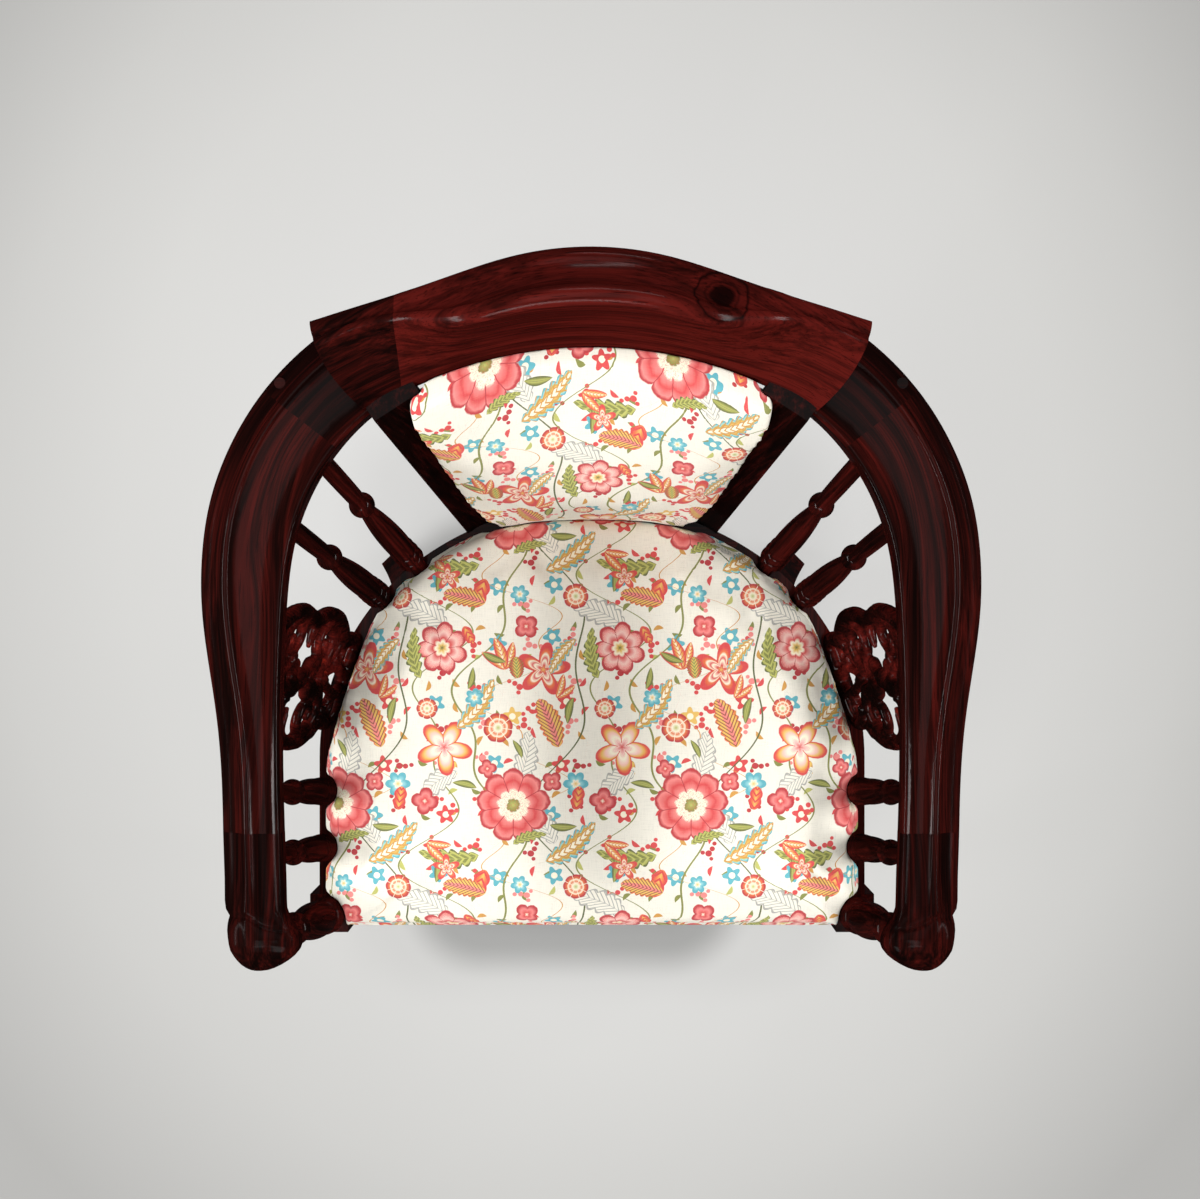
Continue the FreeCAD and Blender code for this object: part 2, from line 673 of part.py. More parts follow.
def pad_rows(extra_front, extra_side, back_shift):
    """Wires of the back pad at each level: hollow back, short sides and bulging front."""
    wires = []
    for rise, bulge, inset in zip(pad_rise_shares, pad_bulge_shares, pad_inset_shares):
        level = pad_bottom_z + rise * (pad_top_z - pad_bottom_z)
        half = pad_foot_half_width + rise * (pad_head_half_width - pad_foot_half_width)
        half = half - inset * pad_inset - extra_side
        edge_y = pad_foot_edge_y + rise * (pad_head_edge_y - pad_foot_edge_y)
        hollow = pad_foot_hollow + rise * (pad_head_hollow - pad_foot_hollow)
        depth = pad_edge_depth * (bulge + 1) / 2
        side = depth + rise * pad_head_edge_extra - extra_front
        middle_depth = depth + rise * pad_head_middle_extra + bulge * pad_bulge
        front_y = edge_y + hollow - middle_depth + extra_front
        back_left = V(-half, edge_y + back_shift, level)
        back_right = V(half, edge_y + back_shift, level)
        front_left = V(-half, edge_y - side, level)
        front_right = V(half, edge_y - side, level)
        wires.append(Part.Wire([
            arc(back_left, V(0, edge_y + hollow + back_shift, level), back_right),
            line(back_right, front_right),
            arc(front_right, V(0, front_y + extra_front, level), front_left),
            line(front_left, back_left)]))
    return wires


def back_sheet(front_shift, thickness, margin, low_z, high_z):
    """A bent sheet behind the pad, between two levels of the back."""
    wires = []
    for level in (low_z, high_z):
        rise = (level - pad_bottom_z) / (pad_top_z - pad_bottom_z)
        half = pad_foot_half_width + rise * (pad_head_half_width - pad_foot_half_width) - margin
        edge_y = pad_foot_edge_y + rise * (pad_head_edge_y - pad_foot_edge_y) + front_shift
        hollow = pad_foot_hollow + rise * (pad_head_hollow - pad_foot_hollow)
        corners = [V(-half, edge_y, level), V(half, edge_y, level),
                   V(half, edge_y + thickness, level), V(-half, edge_y + thickness, level)]
        wires.append(Part.Wire([
            arc(corners[0], V(0, edge_y + hollow, level), corners[1]), line(corners[1], corners[2]),
            arc(corners[2], V(0, edge_y + hollow + thickness, level), corners[3]),
            line(corners[3], corners[0])]))
    return Part.makeLoft(wires, True, True)


def seat_levels(shrink):
    """Wires of the seat cushion, crowned above and drawn in below its widest level."""
    wires = []
    front_y = rail_front_y - seat_front_overhang
    for rise, share in zip(seat_rise_shares, seat_inset_shares):
        inset = share * seat_inset_span
        level = seat_rail_top_z + rise * (seat_crown - shrink)
        corner = seat_corner_radius + inset / 2
        wires.append(seat_outline(seat_edge_inset + inset + shrink, level, front_y + inset + shrink, corner))
    return wires


def dowels_across(point, across, spacing_direction):
    """Two dowels through a joint, side by side."""
    shapes = []
    for side in (-1, 1):
        centre = point + spacing_direction * (side * dowel_spacing / 2)
        half = across * (dowel_length / 2)
        shapes.append(rod(centre - half, centre + half, dowel_radius))
    return shapes


def dowel_bores(dowels):
    """The bores for a set of dowels, with glue clearance."""
    bores = []
    for dowel in dowels:
        axis = dowel.Faces[0].Surface.Axis
        centre = dowel.CenterOfMass
        half = axis * (dowel_length / 2 + fit_clearance)
        bores.append(rod(centre - half, centre + half, dowel_radius + fit_clearance / 2))
    return bores


def screw(head_point, direction, length, extra):
    """A countersunk wood screw, or with a clearance the hole for it."""
    head = Part.makeCone(screw_head_radius + extra, screw_shank_radius + extra, screw_head_height,
                         head_point, direction)
    shank = rod(head_point, head_point + direction * (length + extra), screw_shank_radius + extra)
    return head.fuse(shank).removeSplitter()


def stile_screws(extra):
    """Two screws through the foot of the left stile into the seat rail."""
    foot, head = stile_edge()
    run = head - foot
    sideways = turned_direction(stile_turn)
    outward = turned_direction(90 + stile_turn)
    shapes = []
    for drop in stile_screw_drops:
        edge = foot + run * ((seat_rail_top_z - drop - foot.z) / run.z)
        back = edge + sideways * (stile_width / 2) + outward * stile_depth
        shapes.append(screw(back, -outward, stile_screw_length, extra))
    return shapes


def seat_screws(extra):
    """Upright screws through the two left corner blocks into the seat board."""
    low_z = seat_rail_top_z - seat_board_thickness - corner_block_height
    corner = leg_block_corner()
    third = corner_block_leg / 3
    front = V(-rail_side_x + rail_thickness + third, corner.y + leg_block + third, low_z)
    rear = flank_point(rear_leg_turn, rail_thickness + third)[0] + V(0, 0, low_z)
    return [screw(spot, V(0, 0, 1), corner_block_height + seat_screw_bite, extra) for spot in (front, rear)]


def bottom_lining(cutters):
    """Thin cloth under the seat, tacked to the rails' undersides."""
    low_z = seat_rail_top_z - rail_height - lining_thickness
    inset = rail_thickness - lining_lap
    outline = seat_outline(inset, low_z, rail_front_y + inset, fit_clearance)
    return Part.Face(outline).extrude(V(0, 0, lining_thickness)).cut(cutters)


def corner_blocks():
    """Two triangular front blocks in the angles of the seat rails, on the left and on the right."""
    inner_x = -rail_side_x + rail_thickness
    corner = leg_block_corner()
    inner_y = corner.y + leg_block
    top_z = seat_rail_top_z - seat_board_thickness
    low_z = top_z - corner_block_height
    a = V(inner_x, inner_y, low_z)
    face = polygon_face([a, a + V(corner_block_leg, 0, 0), a + V(0, corner_block_leg, 0)])
    return face.extrude(V(0, 0, corner_block_height))


def rear_block():
    """Left rear block, glued inside the flank of the rail."""
    inner, outward = flank_point(rear_leg_turn, rail_thickness)
    sideways = V(-outward.y, outward.x, 0)
    low_z = seat_rail_top_z - seat_board_thickness - corner_block_height
    half = sideways * (corner_block_leg / 2)
    depth = outward * (corner_block_leg / 2)
    base = inner + V(0, 0, low_z)
    face = polygon_face([base - half - depth, base + half - depth, base + half + depth, base - half + depth])
    block = face.extrude(V(0, 0, corner_block_height))
    inside = Part.Face(seat_outline(rail_thickness, low_z, rail_front_y + rail_thickness, fit_clearance))
    return block.common(inside.extrude(V(0, 0, corner_block_height)))


def seat_notches(extra):
    """Hollows in the cushion's edge round every post and splat that stands on the rails."""
    shapes = [post_notch(foot, head, spindle_radius + extra) for name, foot, head in post_places()]
    shapes.append(post_notch(*baluster_place(), baluster_radius + extra))
    foot, sideways, rise, normal = splat_frame()
    half = normal * (splat_thickness / 2 + seat_post_clearance + extra)
    half_width = sideways * (splat_width / 2 + extra)
    below = along(V(0, 0, 0), rise, cut_overrun / rise.Length)
    low = foot - below
    face = polygon_face([low - half_width - half, low + half_width - half,
                         low + half_width + half, low - half_width + half])
    shapes.append(face.extrude(rise + below))
    return shapes + [left_to_right(shape) for shape in shapes]


def post_notch(foot, head, radius):
    """The hollow round one post."""
    below = (head - foot).normalize() * cut_overrun
    return rod(foot - below, head, radius + seat_post_clearance)


def build():
    """Make every piece and write it."""
    # Posts and their sockets
    posts = {}
    sockets = []
    for name, foot, head in post_places():
        posts[name] = post(foot, head, spindle_radius, spindle_rise_shares, spindle_radius_shares,
                           spindle_bulge_shares)
        sockets.append(post_socket(foot, head))
    foot, head = baluster_place()
    posts["front_baluster"] = post(foot, head, baluster_radius, baluster_rise_shares, baluster_radius_shares,
                                   baluster_bulge_shares)
    baluster_socket = post_socket(foot, head)
    for name, shape in posts.items():
        save_pair(name, shape)
    splat_body = splat()
    mortises = splat_tenon(fit_clearance)
    save_pair("carved_splat", splat_body)

    # Crest and bow
    crest = whole_crest()
    bow = whole_bow().cut(crest)
    side_sockets = sockets + [mortises]
    sockets_both = side_sockets + [left_to_right(s) for s in side_sockets]
    scarf_middle, scarf_out = bow_arc_point(rear_scarf_angle, bow_width / 2 - scarf_dowel_shift)
    scarf_middle.z = arm_underside_z + bow_thickness / 2 - dowel_radius
    scarf_across = V(-scarf_out.y, scarf_out.x, 0)
    front_middle = V(-(bow_half_width + rail_side_x) / 2 + dowel_radius, front_scarf_y, scarf_middle.z)
    bow_dowels = (dowels_across(scarf_middle, scarf_across, scarf_out)
                  + dowels_across(front_middle, V(0, 1, 0), V(1, 0, 0)))
    bow_bores = dowel_bores(bow_dowels)
    bow = bow.cut(bow_bores + [left_to_right(s) for s in bow_bores] + sockets_both)
    wedge = back_wedge()
    front = front_box()
    left = left_box()
    back_bow = bow.common(wedge)
    side_bow = bow.cut([wedge, front]).common(left)
    hand = knuckle()
    front_arm = bow.common(front).common(left).fuse(hand).cut(baluster_socket)
    save("arm_bow_back", back_bow.cut(plug_pockets()))
    save_pair("arm_side", side_bow)
    save_pair("arm_front", front_arm.removeSplitter())
    save("screw_plugs", Part.makeCompound(plugs()))
    save("bow_dowels", Part.makeCompound(bow_dowels + [left_to_right(d) for d in bow_dowels]))

    crest_inner_y = plan(*crest_end_inner_shares).y
    crest_middle = V(-crest_joint_x, (crest_inner_y + chair_half_depth) / 2, crest_seat_z + crest_rise / 3)
    crest_dowels = dowels_across(crest_middle, V(1, 0, 0), V(0, 0, 1))
    crest_dowels += [left_to_right(d) for d in crest_dowels]
    crest = crest.cut(dowel_bores(crest_dowels))
    middle_box = Part.makeBox(crest_joint_x + crest_joint_x, chair_half_depth + cut_overrun,
                              crest_rise + cut_overrun, V(-crest_joint_x, 0, crest_seat_z))
    save("crest_center", crest.common(middle_box))
    save_pair("crest_end", crest.cut(middle_box).common(left))
    save("crest_dowels", Part.makeCompound(crest_dowels))

    # Seat frame
    side_tenon, front_tenon = rail_tenons()
    block_left = leg_block_shape()
    leg_cutters = [side_tenon, front_tenon]
    leg = front_leg().cut(leg_cutters + [baluster_socket])
    save_pair("front_leg", leg)
    back_leg, leg_head = rear_leg()
    save_pair("rear_leg", back_leg)
    leg_bore = rod(leg_head - V(0, 0, cut_overrun), leg_head + V(0, 0, rear_leg_tenon_length + fit_clearance),
                   rear_leg_tenon_radius + fit_clearance / 2)
    ring = seat_ring().cut([block_left, left_to_right(block_left)])
    joint = rail_joint_wedge()
    centre, radius = back_arc()
    joint_way = turned_direction(90 + rail_joint_turn)
    joint_point = centre + joint_way * (radius - rail_thickness / 2)
    joint_point.z = seat_rail_top_z - rail_height / 2
    rail_dowels = dowels_across(joint_point, V(-joint_way.y, joint_way.x, 0), V(0, 0, 1))
    rail_dowels += [left_to_right(d) for d in rail_dowels]
    stile_holes = stile_screws(fit_clearance)
    stile_holes_both = stile_holes + [left_to_right(s) for s in stile_holes]
    cutters = dowel_bores(rail_dowels) + sockets_both + [leg_bore, left_to_right(leg_bore)] + stile_holes_both
    ring = ring.cut(cutters)
    front_limit = V(-rail_side_x, rail_front_y - cut_overrun, 0)
    block_depth = leg_block_corner().y + leg_block - front_limit.y
    front_space = Part.makeBox(rail_side_x + rail_side_x, block_depth, seat_rail_top_z + cut_overrun,
                               front_limit)
    front_rail = ring.common(front_space).fuse([front_tenon, left_to_right(front_tenon)]).removeSplitter()
    side_rail = ring.cut([joint, front_space]).common(left).fuse(side_tenon).removeSplitter()
    back_rail = ring.common(joint)
    save("seat_rail_front", front_rail)
    save_pair("seat_rail_side", side_rail)
    save("seat_rail_back", back_rail)
    save("rail_dowels", Part.makeCompound(rail_dowels))
    seat_holes = seat_screws(fit_clearance)
    save_pair("corner_block_front", corner_blocks().cut(seat_holes))
    save_pair("corner_block_rear", rear_block().cut(seat_holes))
    left_seat_screws = seat_screws(0)
    save("seat_screws", Part.makeCompound(left_seat_screws + [left_to_right(s) for s in left_seat_screws]))
    save("bottom_lining", bottom_lining([leg, left_to_right(leg), back_leg, left_to_right(back_leg)]))

    # Back
    blank = stile_blank()
    panel = back_sheet(0, back_panel_thickness, back_cover_gap, pad_bottom_z, arm_underside_z)
    full_ring = seat_ring()
    stile = blank.cut([full_ring, panel, whole_bow(), whole_crest()] + stile_holes)
    save_pair("back_stile", stile)
    save("back_panel", panel)
    left_stile_screws = stile_screws(0)
    save("stile_screws", Part.makeCompound(left_stile_screws + [left_to_right(s) for s in left_stile_screws]))
    stiles = [blank, left_to_right(blank)]
    outside = back_sheet(back_panel_thickness + back_rail_depth, back_outer_thickness, back_cover_gap,
                         back_rail_bottom_z, arm_underside_z)
    save("back_outer_panel", outside.cut(stiles))
    bar = back_sheet(back_panel_thickness, back_rail_depth, back_cover_gap, back_rail_bottom_z,
                     back_rail_bottom_z + back_rail_height)
    bar = bar.cut(stiles + [full_ring, panel, outside])
    save("back_bottom_rail", bar)
    shift = -back_cover_gap
    outer_pad = Part.makeLoft(pad_rows(0, 0, shift), True, False)
    inner_pad = Part.makeLoft(pad_rows(cover_thickness, cover_thickness, cut_overrun), True, False)
    inner_pad = inner_pad.common(slab(pad_bottom_z + cover_thickness, pad_top_z - cover_thickness))
    save("back_pad_cover", outer_pad.cut(inner_pad))
    save("back_pad_foam", outer_pad.common(inner_pad))

    # Seat
    level = seat_rail_top_z - seat_board_thickness
    board = Part.Face(seat_outline(rail_thickness + seat_board_clearance, level,
                                   rail_front_y + rail_thickness + seat_board_clearance, fit_clearance))
    board = board.extrude(V(0, 0, seat_board_thickness))
    save("seat_board", board.cut(seat_holes + [left_to_right(s) for s in seat_holes]))
    outer_seat = Part.makeLoft(seat_levels(0), True, False)
    inner_seat = Part.makeLoft(seat_levels(cover_thickness), True, False)
    pad_space = Part.makeLoft(pad_rows(-back_cover_gap, -back_cover_gap, shift), True, False)
    grown = -back_cover_gap - cover_thickness
    pad_space_grown = Part.makeLoft(pad_rows(grown, grown, shift), True, False)
    back_things = [blank, left_to_right(blank), panel]
    foam = inner_seat.cut(seat_notches(cover_thickness) + [pad_space_grown] + back_things)
    cover = outer_seat.cut(seat_notches(0) + [pad_space] + back_things)
    save("seat_cover", cover.cut(foam))
    save("seat_foam", foam)


def plug_spot():
    """Top point of the left screw plug, on the outer edge of the bow."""
    spot = bow_arc_point(plug_turn, bow_bead_width)[0]
    spot.z = arm_underside_z + bow_bead_height
    return spot


def plugs():
    """The two wooden plugs over the screws that hold the crest's ends."""
    spot = plug_spot()
    plug = rod(spot - V(0, 0, plug_length), spot, plug_radius)
    return [plug, left_to_right(plug)]


def plug_pockets():
    """The pockets that the two plugs are glued into."""
    spot = plug_spot()
    pocket = rod(spot - V(0, 0, plug_length + fit_clearance), spot + V(0, 0, cut_overrun),
                 plug_radius + fit_clearance / 2)
    return [pocket, left_to_right(pocket)]


build()
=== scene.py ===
import math

import bmesh
import bpy
import numpy as np
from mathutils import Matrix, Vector


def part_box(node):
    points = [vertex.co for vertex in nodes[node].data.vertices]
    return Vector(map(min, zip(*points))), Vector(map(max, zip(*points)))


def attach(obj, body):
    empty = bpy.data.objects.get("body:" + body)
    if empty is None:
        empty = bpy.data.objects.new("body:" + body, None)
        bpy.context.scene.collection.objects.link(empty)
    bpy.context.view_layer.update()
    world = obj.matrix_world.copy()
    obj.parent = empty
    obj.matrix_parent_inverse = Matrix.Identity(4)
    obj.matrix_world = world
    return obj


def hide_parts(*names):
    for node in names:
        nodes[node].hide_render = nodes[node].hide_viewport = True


# Horseshoe back armchair of striped rosewood, seen straight from above.
# Metres, +Z up, the chair faces -Y. Left is -X.
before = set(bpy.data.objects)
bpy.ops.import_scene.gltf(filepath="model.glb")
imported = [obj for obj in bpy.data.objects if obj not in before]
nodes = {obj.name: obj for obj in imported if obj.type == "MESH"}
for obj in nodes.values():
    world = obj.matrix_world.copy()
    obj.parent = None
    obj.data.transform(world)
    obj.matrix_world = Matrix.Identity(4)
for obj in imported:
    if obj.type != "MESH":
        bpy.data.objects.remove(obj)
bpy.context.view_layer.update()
MM = 0.001

# Camera: straight above the chair
camera_place = (0.0075, 0.017, 2.9)
camera_lens = 78.4
camera_sensor = 36.0

# Lights: name, place, width, length and power, all aimed at one point
light_aim = (0.0, 0.0, 0.5)
lights = [("left_strip", (-1.9, -0.3, 1.75), 0.22, 1.5, 42.0),
          ("right_strip", (1.9, 0.1, 1.75), 0.22, 1.5, 34.0),
          ("front_softbox", (-0.5, -1.7, 2.5), 0.7, 1.2, 46.0),
          ("top_softbox", (0.0, 0.3, 4.4), 2.4, 2.4, 30.0),
          ("rear_strip", (0.3, 1.9, 2.0), 0.25, 1.2, 12.0)]

# Floor: half size; its painted glow, bright in the middle of an oval and fading out; and its painted shadows
# under the seat: middle, half size, fade, least
floor_half = 20.0
floor_oval = (1.15, 1.0, 1.0), (0.0, -0.11, 0.0)
painted_floor_glow = [(0.34, (0.57, 0.565, 0.555)), (0.60, (0.51, 0.505, 0.49)), (0.76, (0.44, 0.435, 0.42)),
              (1.0, (0.28, 0.275, 0.265))]
painted_floor_shadows = [((-0.02, -0.14), (0.10, 0.185), (0.10, 0.085), 0.36),
                ((0.0, -0.10), (0.16, 0.24), (0.14, 0.10), 0.90)]

# Arm bow, as in the solids
bow_centre = (0.078, 0.0387)
arm_bottom = 0.656
arm_thickness = 0.042

# Turned posts, as in the solids
spindle_radius = 0.0128
baluster_radius = 0.0175
post_clearance = 0.0012

# Seat cushion: middle in plan, top of the rails under it, edge height, and the creases at the posts
rail_top_z = 0.425
seat_middle = np.array([0.0, -0.09])
seat_voxel = 0.005
seat_pressure = 4.0
seat_swell = 0.006
seat_held = 0.006
seat_start_height = 0.95
seat_box_gap = 0.0004
seat_edge_z = 0.452
seat_crown_z = 0.462
crease_half_width = 0.011
crease_reach = 0.055
crease_behind = 0.03
crease_depth = 0.0045
crease_fade = (0.022, 0.02)
cloth_gap = 0.0012
cloth_steps = 20

# Back pad: foot and head half widths, edges and hollows, as in the solids
pad_bottom = 0.434
pad_top = 0.697
pad_half = (0.0970, 0.1580)
pad_edge = (0.0905, 0.1839)
pad_hollow = (0.0160, 0.0450)
pad_rises = (0.0, 0.10, 0.30, 0.60, 0.88, 1.0)
pad_bulges = (0.30, 0.72, 1.0, 0.88, 0.48, 0.16)
pad_insets = (1.0, 0.40, 0.16, 0.14, 0.12, 0.50)
pad_bulge = 0.026
pad_inset = 0.014
pad_edge_depth = 0.009
pad_head_edge_extra = 0.008
pad_head_middle_extra = 0.005
pad_foot_extra = 0.004
pad_grow = 0.004
pad_side_slack = 0.0005
pad_side_room = 0.012
pad_gap = 0.0004
bow_face_y = 0.2305
bow_face_radius = 0.350
stile_line = ((0.1690, 0.1489), (0.239, 0.321), 0.650, 0.640)
stile_inner = (0.1313, 0.239)
panel_top_z = 0.6575
pad_pressure = 3.0
pad_swell = 0.005
pad_held = 0.008
pad_ring = 41
pad_levels = 40
pad_voxel = 0.004
pad_print_scale = (1.04, 0.86)
pad_print_shift = (0.02, 0.13, 0)

# Carved splats: place of the left one, as in the solids, and its design
splat_foot = (-0.235483, -0.060413, 0.425)
splat_sideways = (0.325, 0.946, 0.0)
splat_rise = (-0.05456, 0.013313, 0.231)
splat_normal = (-0.919, 0.316, -0.235)
splat_width = 0.138
splat_thickness = 0.018
splat_height = 0.2377
splat_voxel = 0.0022
splat_frame_shares = [(0.0, 0.02), (0.16, 0.03), (0.30, 0.03), (0.31, 0.10), (0.27, 0.16), (0.36, 0.22),
                      (0.44, 0.31), (0.455, 0.44), (0.40, 0.53), (0.42, 0.62), (0.455, 0.70), (0.42, 0.82),
                      (0.33, 0.90), (0.31, 0.97), (0.16, 0.97), (0.0, 0.98)]
splat_scrolls = [((0.24, 0.36), 0.026, 200, 1.35, 1, 0.0060), ((0.25, 0.69), 0.026, 160, 1.35, -1, 0.0060),
                 ((0.17, 0.15), 0.014, 90, 1.0, -1, 0.0048), ((0.17, 0.86), 0.015, 270, 1.0, 1, 0.0050),
                 ((0.08, 0.60), 0.013, 40, 1.1, 1, 0.0044), ((0.09, 0.42), 0.013, 300, 1.1, -1, 0.0044),
                 ((0.36, 0.24), 0.011, 120, 0.9, 1, 0.0042), ((0.36, 0.82), 0.012, 240, 0.9, -1, 0.0044)]
splat_stem = [(0.02, 0.03, 0), (0.10, 0.10, 1), (0.05, 0.22, 1), (-0.06, 0.32, -1), (-0.09, 0.42, -1),
              (0.0, 0.52, 1), (0.09, 0.61, 1), (0.05, 0.72, 1), (-0.07, 0.82, -1), (-0.08, 0.90, -1),
              (0.02, 0.98, 0)]
splat_leaves = [((0.40, 0.53), (0.20, 0.52)), ((0.27, 0.17), (0.10, 0.24)), ((0.33, 0.90), (0.12, 0.78)),
                ((0.44, 0.33), (0.30, 0.25)), ((0.45, 0.72), (0.36, 0.60))]
splat_bosses = [(0.52, 0.011), (0.27, 0.007), (0.75, 0.008)]
frame_strand, stem_strand, leaf_strand = (0.0072, 0.0078, 0.0), (0.0052, 0.0055, 0.0), (0.0065, 0.0070, 0.6)
scroll_depth, scroll_taper, scroll_lift = 0.0070, 0.35, 0.0025
stem_lift, leaf_lift, leaf_bow, boss_depth = 0.0035, 0.001, 0.003, 0.0085

# Hand-holds, in millimetres: stations (y, left x, right x, base z, top z, roundness), the ogee line with
# its groove's half width and depth, and the flutes
weld = 1e-5
hand_ring = 168
hand_rows = 110
hand_spacing = ((0.0, 0.22, 0.85, 1.0), (-181.0, -238.0, -294.0, -300.0))
hand_stations = [
    (-181.0, -314.2, -262.4, 656.0, 698.0, 0.0), (-200.0, -313.6, -261.8, 656.0, 698.0, 0.0),
    (-220.0, -313.0, -261.0, 656.0, 698.0, 0.05), (-240.0, -313.2, -260.2, 654.0, 697.6, 0.20),
    (-247.0, -312.6, -259.4, 652.0, 697.0, 0.40), (-252.0, -309.4, -257.6, 650.0, 696.0, 0.55),
    (-255.0, -310.2, -256.6, 648.5, 696.2, 0.65), (-259.0, -311.0, -254.0, 647.0, 696.6, 0.72),
    (-264.0, -311.0, -250.6, 646.2, 697.0, 0.80), (-270.0, -310.0, -247.6, 646.0, 696.6, 0.88),
    (-276.0, -308.6, -246.8, 646.4, 695.4, 0.95), (-281.0, -307.0, -248.6, 647.4, 693.4, 1.0),
    (-286.0, -304.4, -252.6, 649.2, 690.2, 1.0), (-290.0, -301.8, -257.4, 651.6, 686.6, 1.0),
    (-294.0, -298.4, -263.6, 655.4, 682.0, 1.0), (-297.0, -294.6, -269.6, 659.6, 677.4, 1.0),
    (-299.0, -290.8, -275.2, 663.6, 673.2, 1.0), (-300.0, -287.0, -281.0, 667.0, 669.6, 1.0)]
hand_ogee = (-245.0, -17.0)
hand_carve = (2.2, 1.3)
hand_flutes, hand_flute_slant, hand_flute_depth = 2.3, 0.016, 0.8
hand_flute_start, hand_flute_end = -262.0, -299.0
hand_side_flutes, hand_side_depth = 7, 0.35
hand_squareness = 3.4

# The knot in the crest, seen from above: place, size and darkness from the centre out
knot_place = (0.1056, 0.2598, 0.0)
knot_radius = 0.024
knot_shades = [(0.0, (0.95,) * 3), (0.32, (0.90,) * 3), (0.47, (0.30,) * 3), (0.56, (0.62,) * 3),
               (0.66, (0.15,) * 3), (0.84, (0.20,) * 3), (0.91, (0.90,) * 3), (1.0, (0.0,) * 3)]
knot_colour = (0.0020, 0.0009, 0.0008, 1.0)


# Shader graphs
class Graph:
    """A node tree built by short calls. Inputs are values or sockets, in the order of the node's sockets."""

    def __init__(self, tree):
        self.tree = tree

    def put(self, socket, value):
        """Wires a socket, or sets its value."""
        if isinstance(value, bpy.types.NodeSocket):
            self.tree.links.new(value, socket)
        elif value is not None:
            socket.default_value = value

    def node(self, kind, *inputs, **settings):
        """Adds a node, sets it up and feeds its inputs."""
        made = self.tree.nodes.new("ShaderNode" + kind)
        for key, value in settings.items():
            setattr(made, key, value)
        for socket, value in zip(made.inputs, inputs):
            self.put(socket, value)
        return made

    def math(self, operation, *inputs):
        """A Math node's result."""
        return self.node("Math", *inputs, operation=operation).outputs[0]

    def times(self, value, factor):
        """A product of two numbers."""
        return self.math("MULTIPLY", value, factor)

    def minus(self, value, less):
        """A difference of two numbers."""
        return self.math("SUBTRACT", value, less)

    def times_plus(self, value, factor, more):
        """A product and a sum."""
        return self.math("MULTIPLY_ADD", value, factor, more)

    def vector(self, operation, *inputs):
        """A Vector Math node's vector, or its value where it gives one number."""
        made = self.node("VectorMath", *inputs, operation=operation)
        return made.outputs[1 if operation in ("LENGTH", "DISTANCE", "DOT_PRODUCT") else 0]

    def scaled(self, vector, factor):
        """A vector times a number."""
        return self.vector("SCALE", vector, None, None, factor)

    def split(self, vector):
        """The three parts of a vector."""
        return self.node("SeparateXYZ", vector).outputs

    def join(self, x, y, z=0.0):
        """A vector from three parts."""
        return self.node("CombineXYZ", x, y, z).outputs[0]

    def spin(self, vector, angle):
        """A place turned round Z."""
        made = self.node("VectorRotate", vector, rotation_type="Z_AXIS")
        self.put(made.inputs["Angle"], angle)
        return made.outputs[0]

    def noise(self, vector, scale=1.0, detail=2.0, roughness=0.5):
        """Noise from 0 to 1, with one scale or one per axis."""
        if isinstance(scale, tuple):
            vector, scale = self.vector("MULTIPLY", vector, scale), 1.0
        made = self.node("TexNoise")
        sockets = {"Vector": vector, "Scale": scale, "Detail": detail, "Roughness": roughness}
        for name, value in sockets.items():
            self.put(made.inputs[name], value)
        return made.outputs["Fac"]

    def ramp(self, value, stops, mode="LINEAR"):
        """A colour ramp's colour and cover, from (place, colour) stops."""
        made = self.node("ValToRGB", value)
        ramp = made.color_ramp
        ramp.interpolation = mode
        while len(ramp.elements) < len(stops):
            ramp.elements.new(1.0)
        for element, (place, colour) in zip(ramp.elements, stops):
            element.position = place
            element.color = tuple(colour) + (1.0,) * (4 - len(colour))
        return made.outputs

    def mix(self, share, below, above):
        """One colour over another."""
        made = self.node("Mix", data_type="RGBA")
        self.put(made.inputs["Factor"], share)
        self.put(made.inputs["A"], below)
        self.put(made.inputs["B"], above)
        return made.outputs["Result"]


def new_material(name):
    """A material with its graph and its surface shader."""
    material = bpy.data.materials.new(name)
    material.use_nodes = True
    graph = Graph(material.node_tree)
    return material, graph, material.node_tree.nodes["Principled BSDF"]


def set_sockets(shader, **values):
    """Sets a shader's own sockets, named with underscores for their spaces."""
    for name, value in values.items():
        shader.inputs[name.replace("_", " ")].default_value = value


def new_object(name, data):
    """An object in the scene."""
    made = bpy.data.objects.new(name, data)
    bpy.context.scene.collection.objects.link(made)
    return made


def dress(piece, material):
    """Gives a piece its one material."""
    piece.data.materials.clear()
    piece.data.materials.append(material)


# Rosewood grain: each layout gives (across, depth, along) in metres
def object_place(graph):
    """The place of a point in the chair's frame."""
    return graph.node("TexCoord").outputs["Object"]


def grain_stored(graph, name="grain"):
    """The place in the wood that is kept with a carving's mesh."""
    return graph.node("Attribute", attribute_name=name).outputs["Vector"]


def print_stored(graph):
    """The place on the cloth that is kept with a cushion's mesh."""
    return grain_stored(graph, "print")


def grain_of_bow(graph):
    """Grain that follows the horseshoe: straight along the arms, round the back."""
    x, y, z = graph.split(object_place(graph))
    side = graph.minus(graph.math("ABSOLUTE", x), bow_centre[0])
    back = graph.math("MAXIMUM", graph.minus(y, bow_centre[1]), 0.0)
    front = graph.math("MAXIMUM", graph.minus(bow_centre[1], y), 0.0)
    across = graph.vector("LENGTH", graph.join(side, back))
    turn = graph.times(graph.math("ARCTAN2", back, side), 0.22)
    return graph.join(across, z, graph.minus(front, turn))


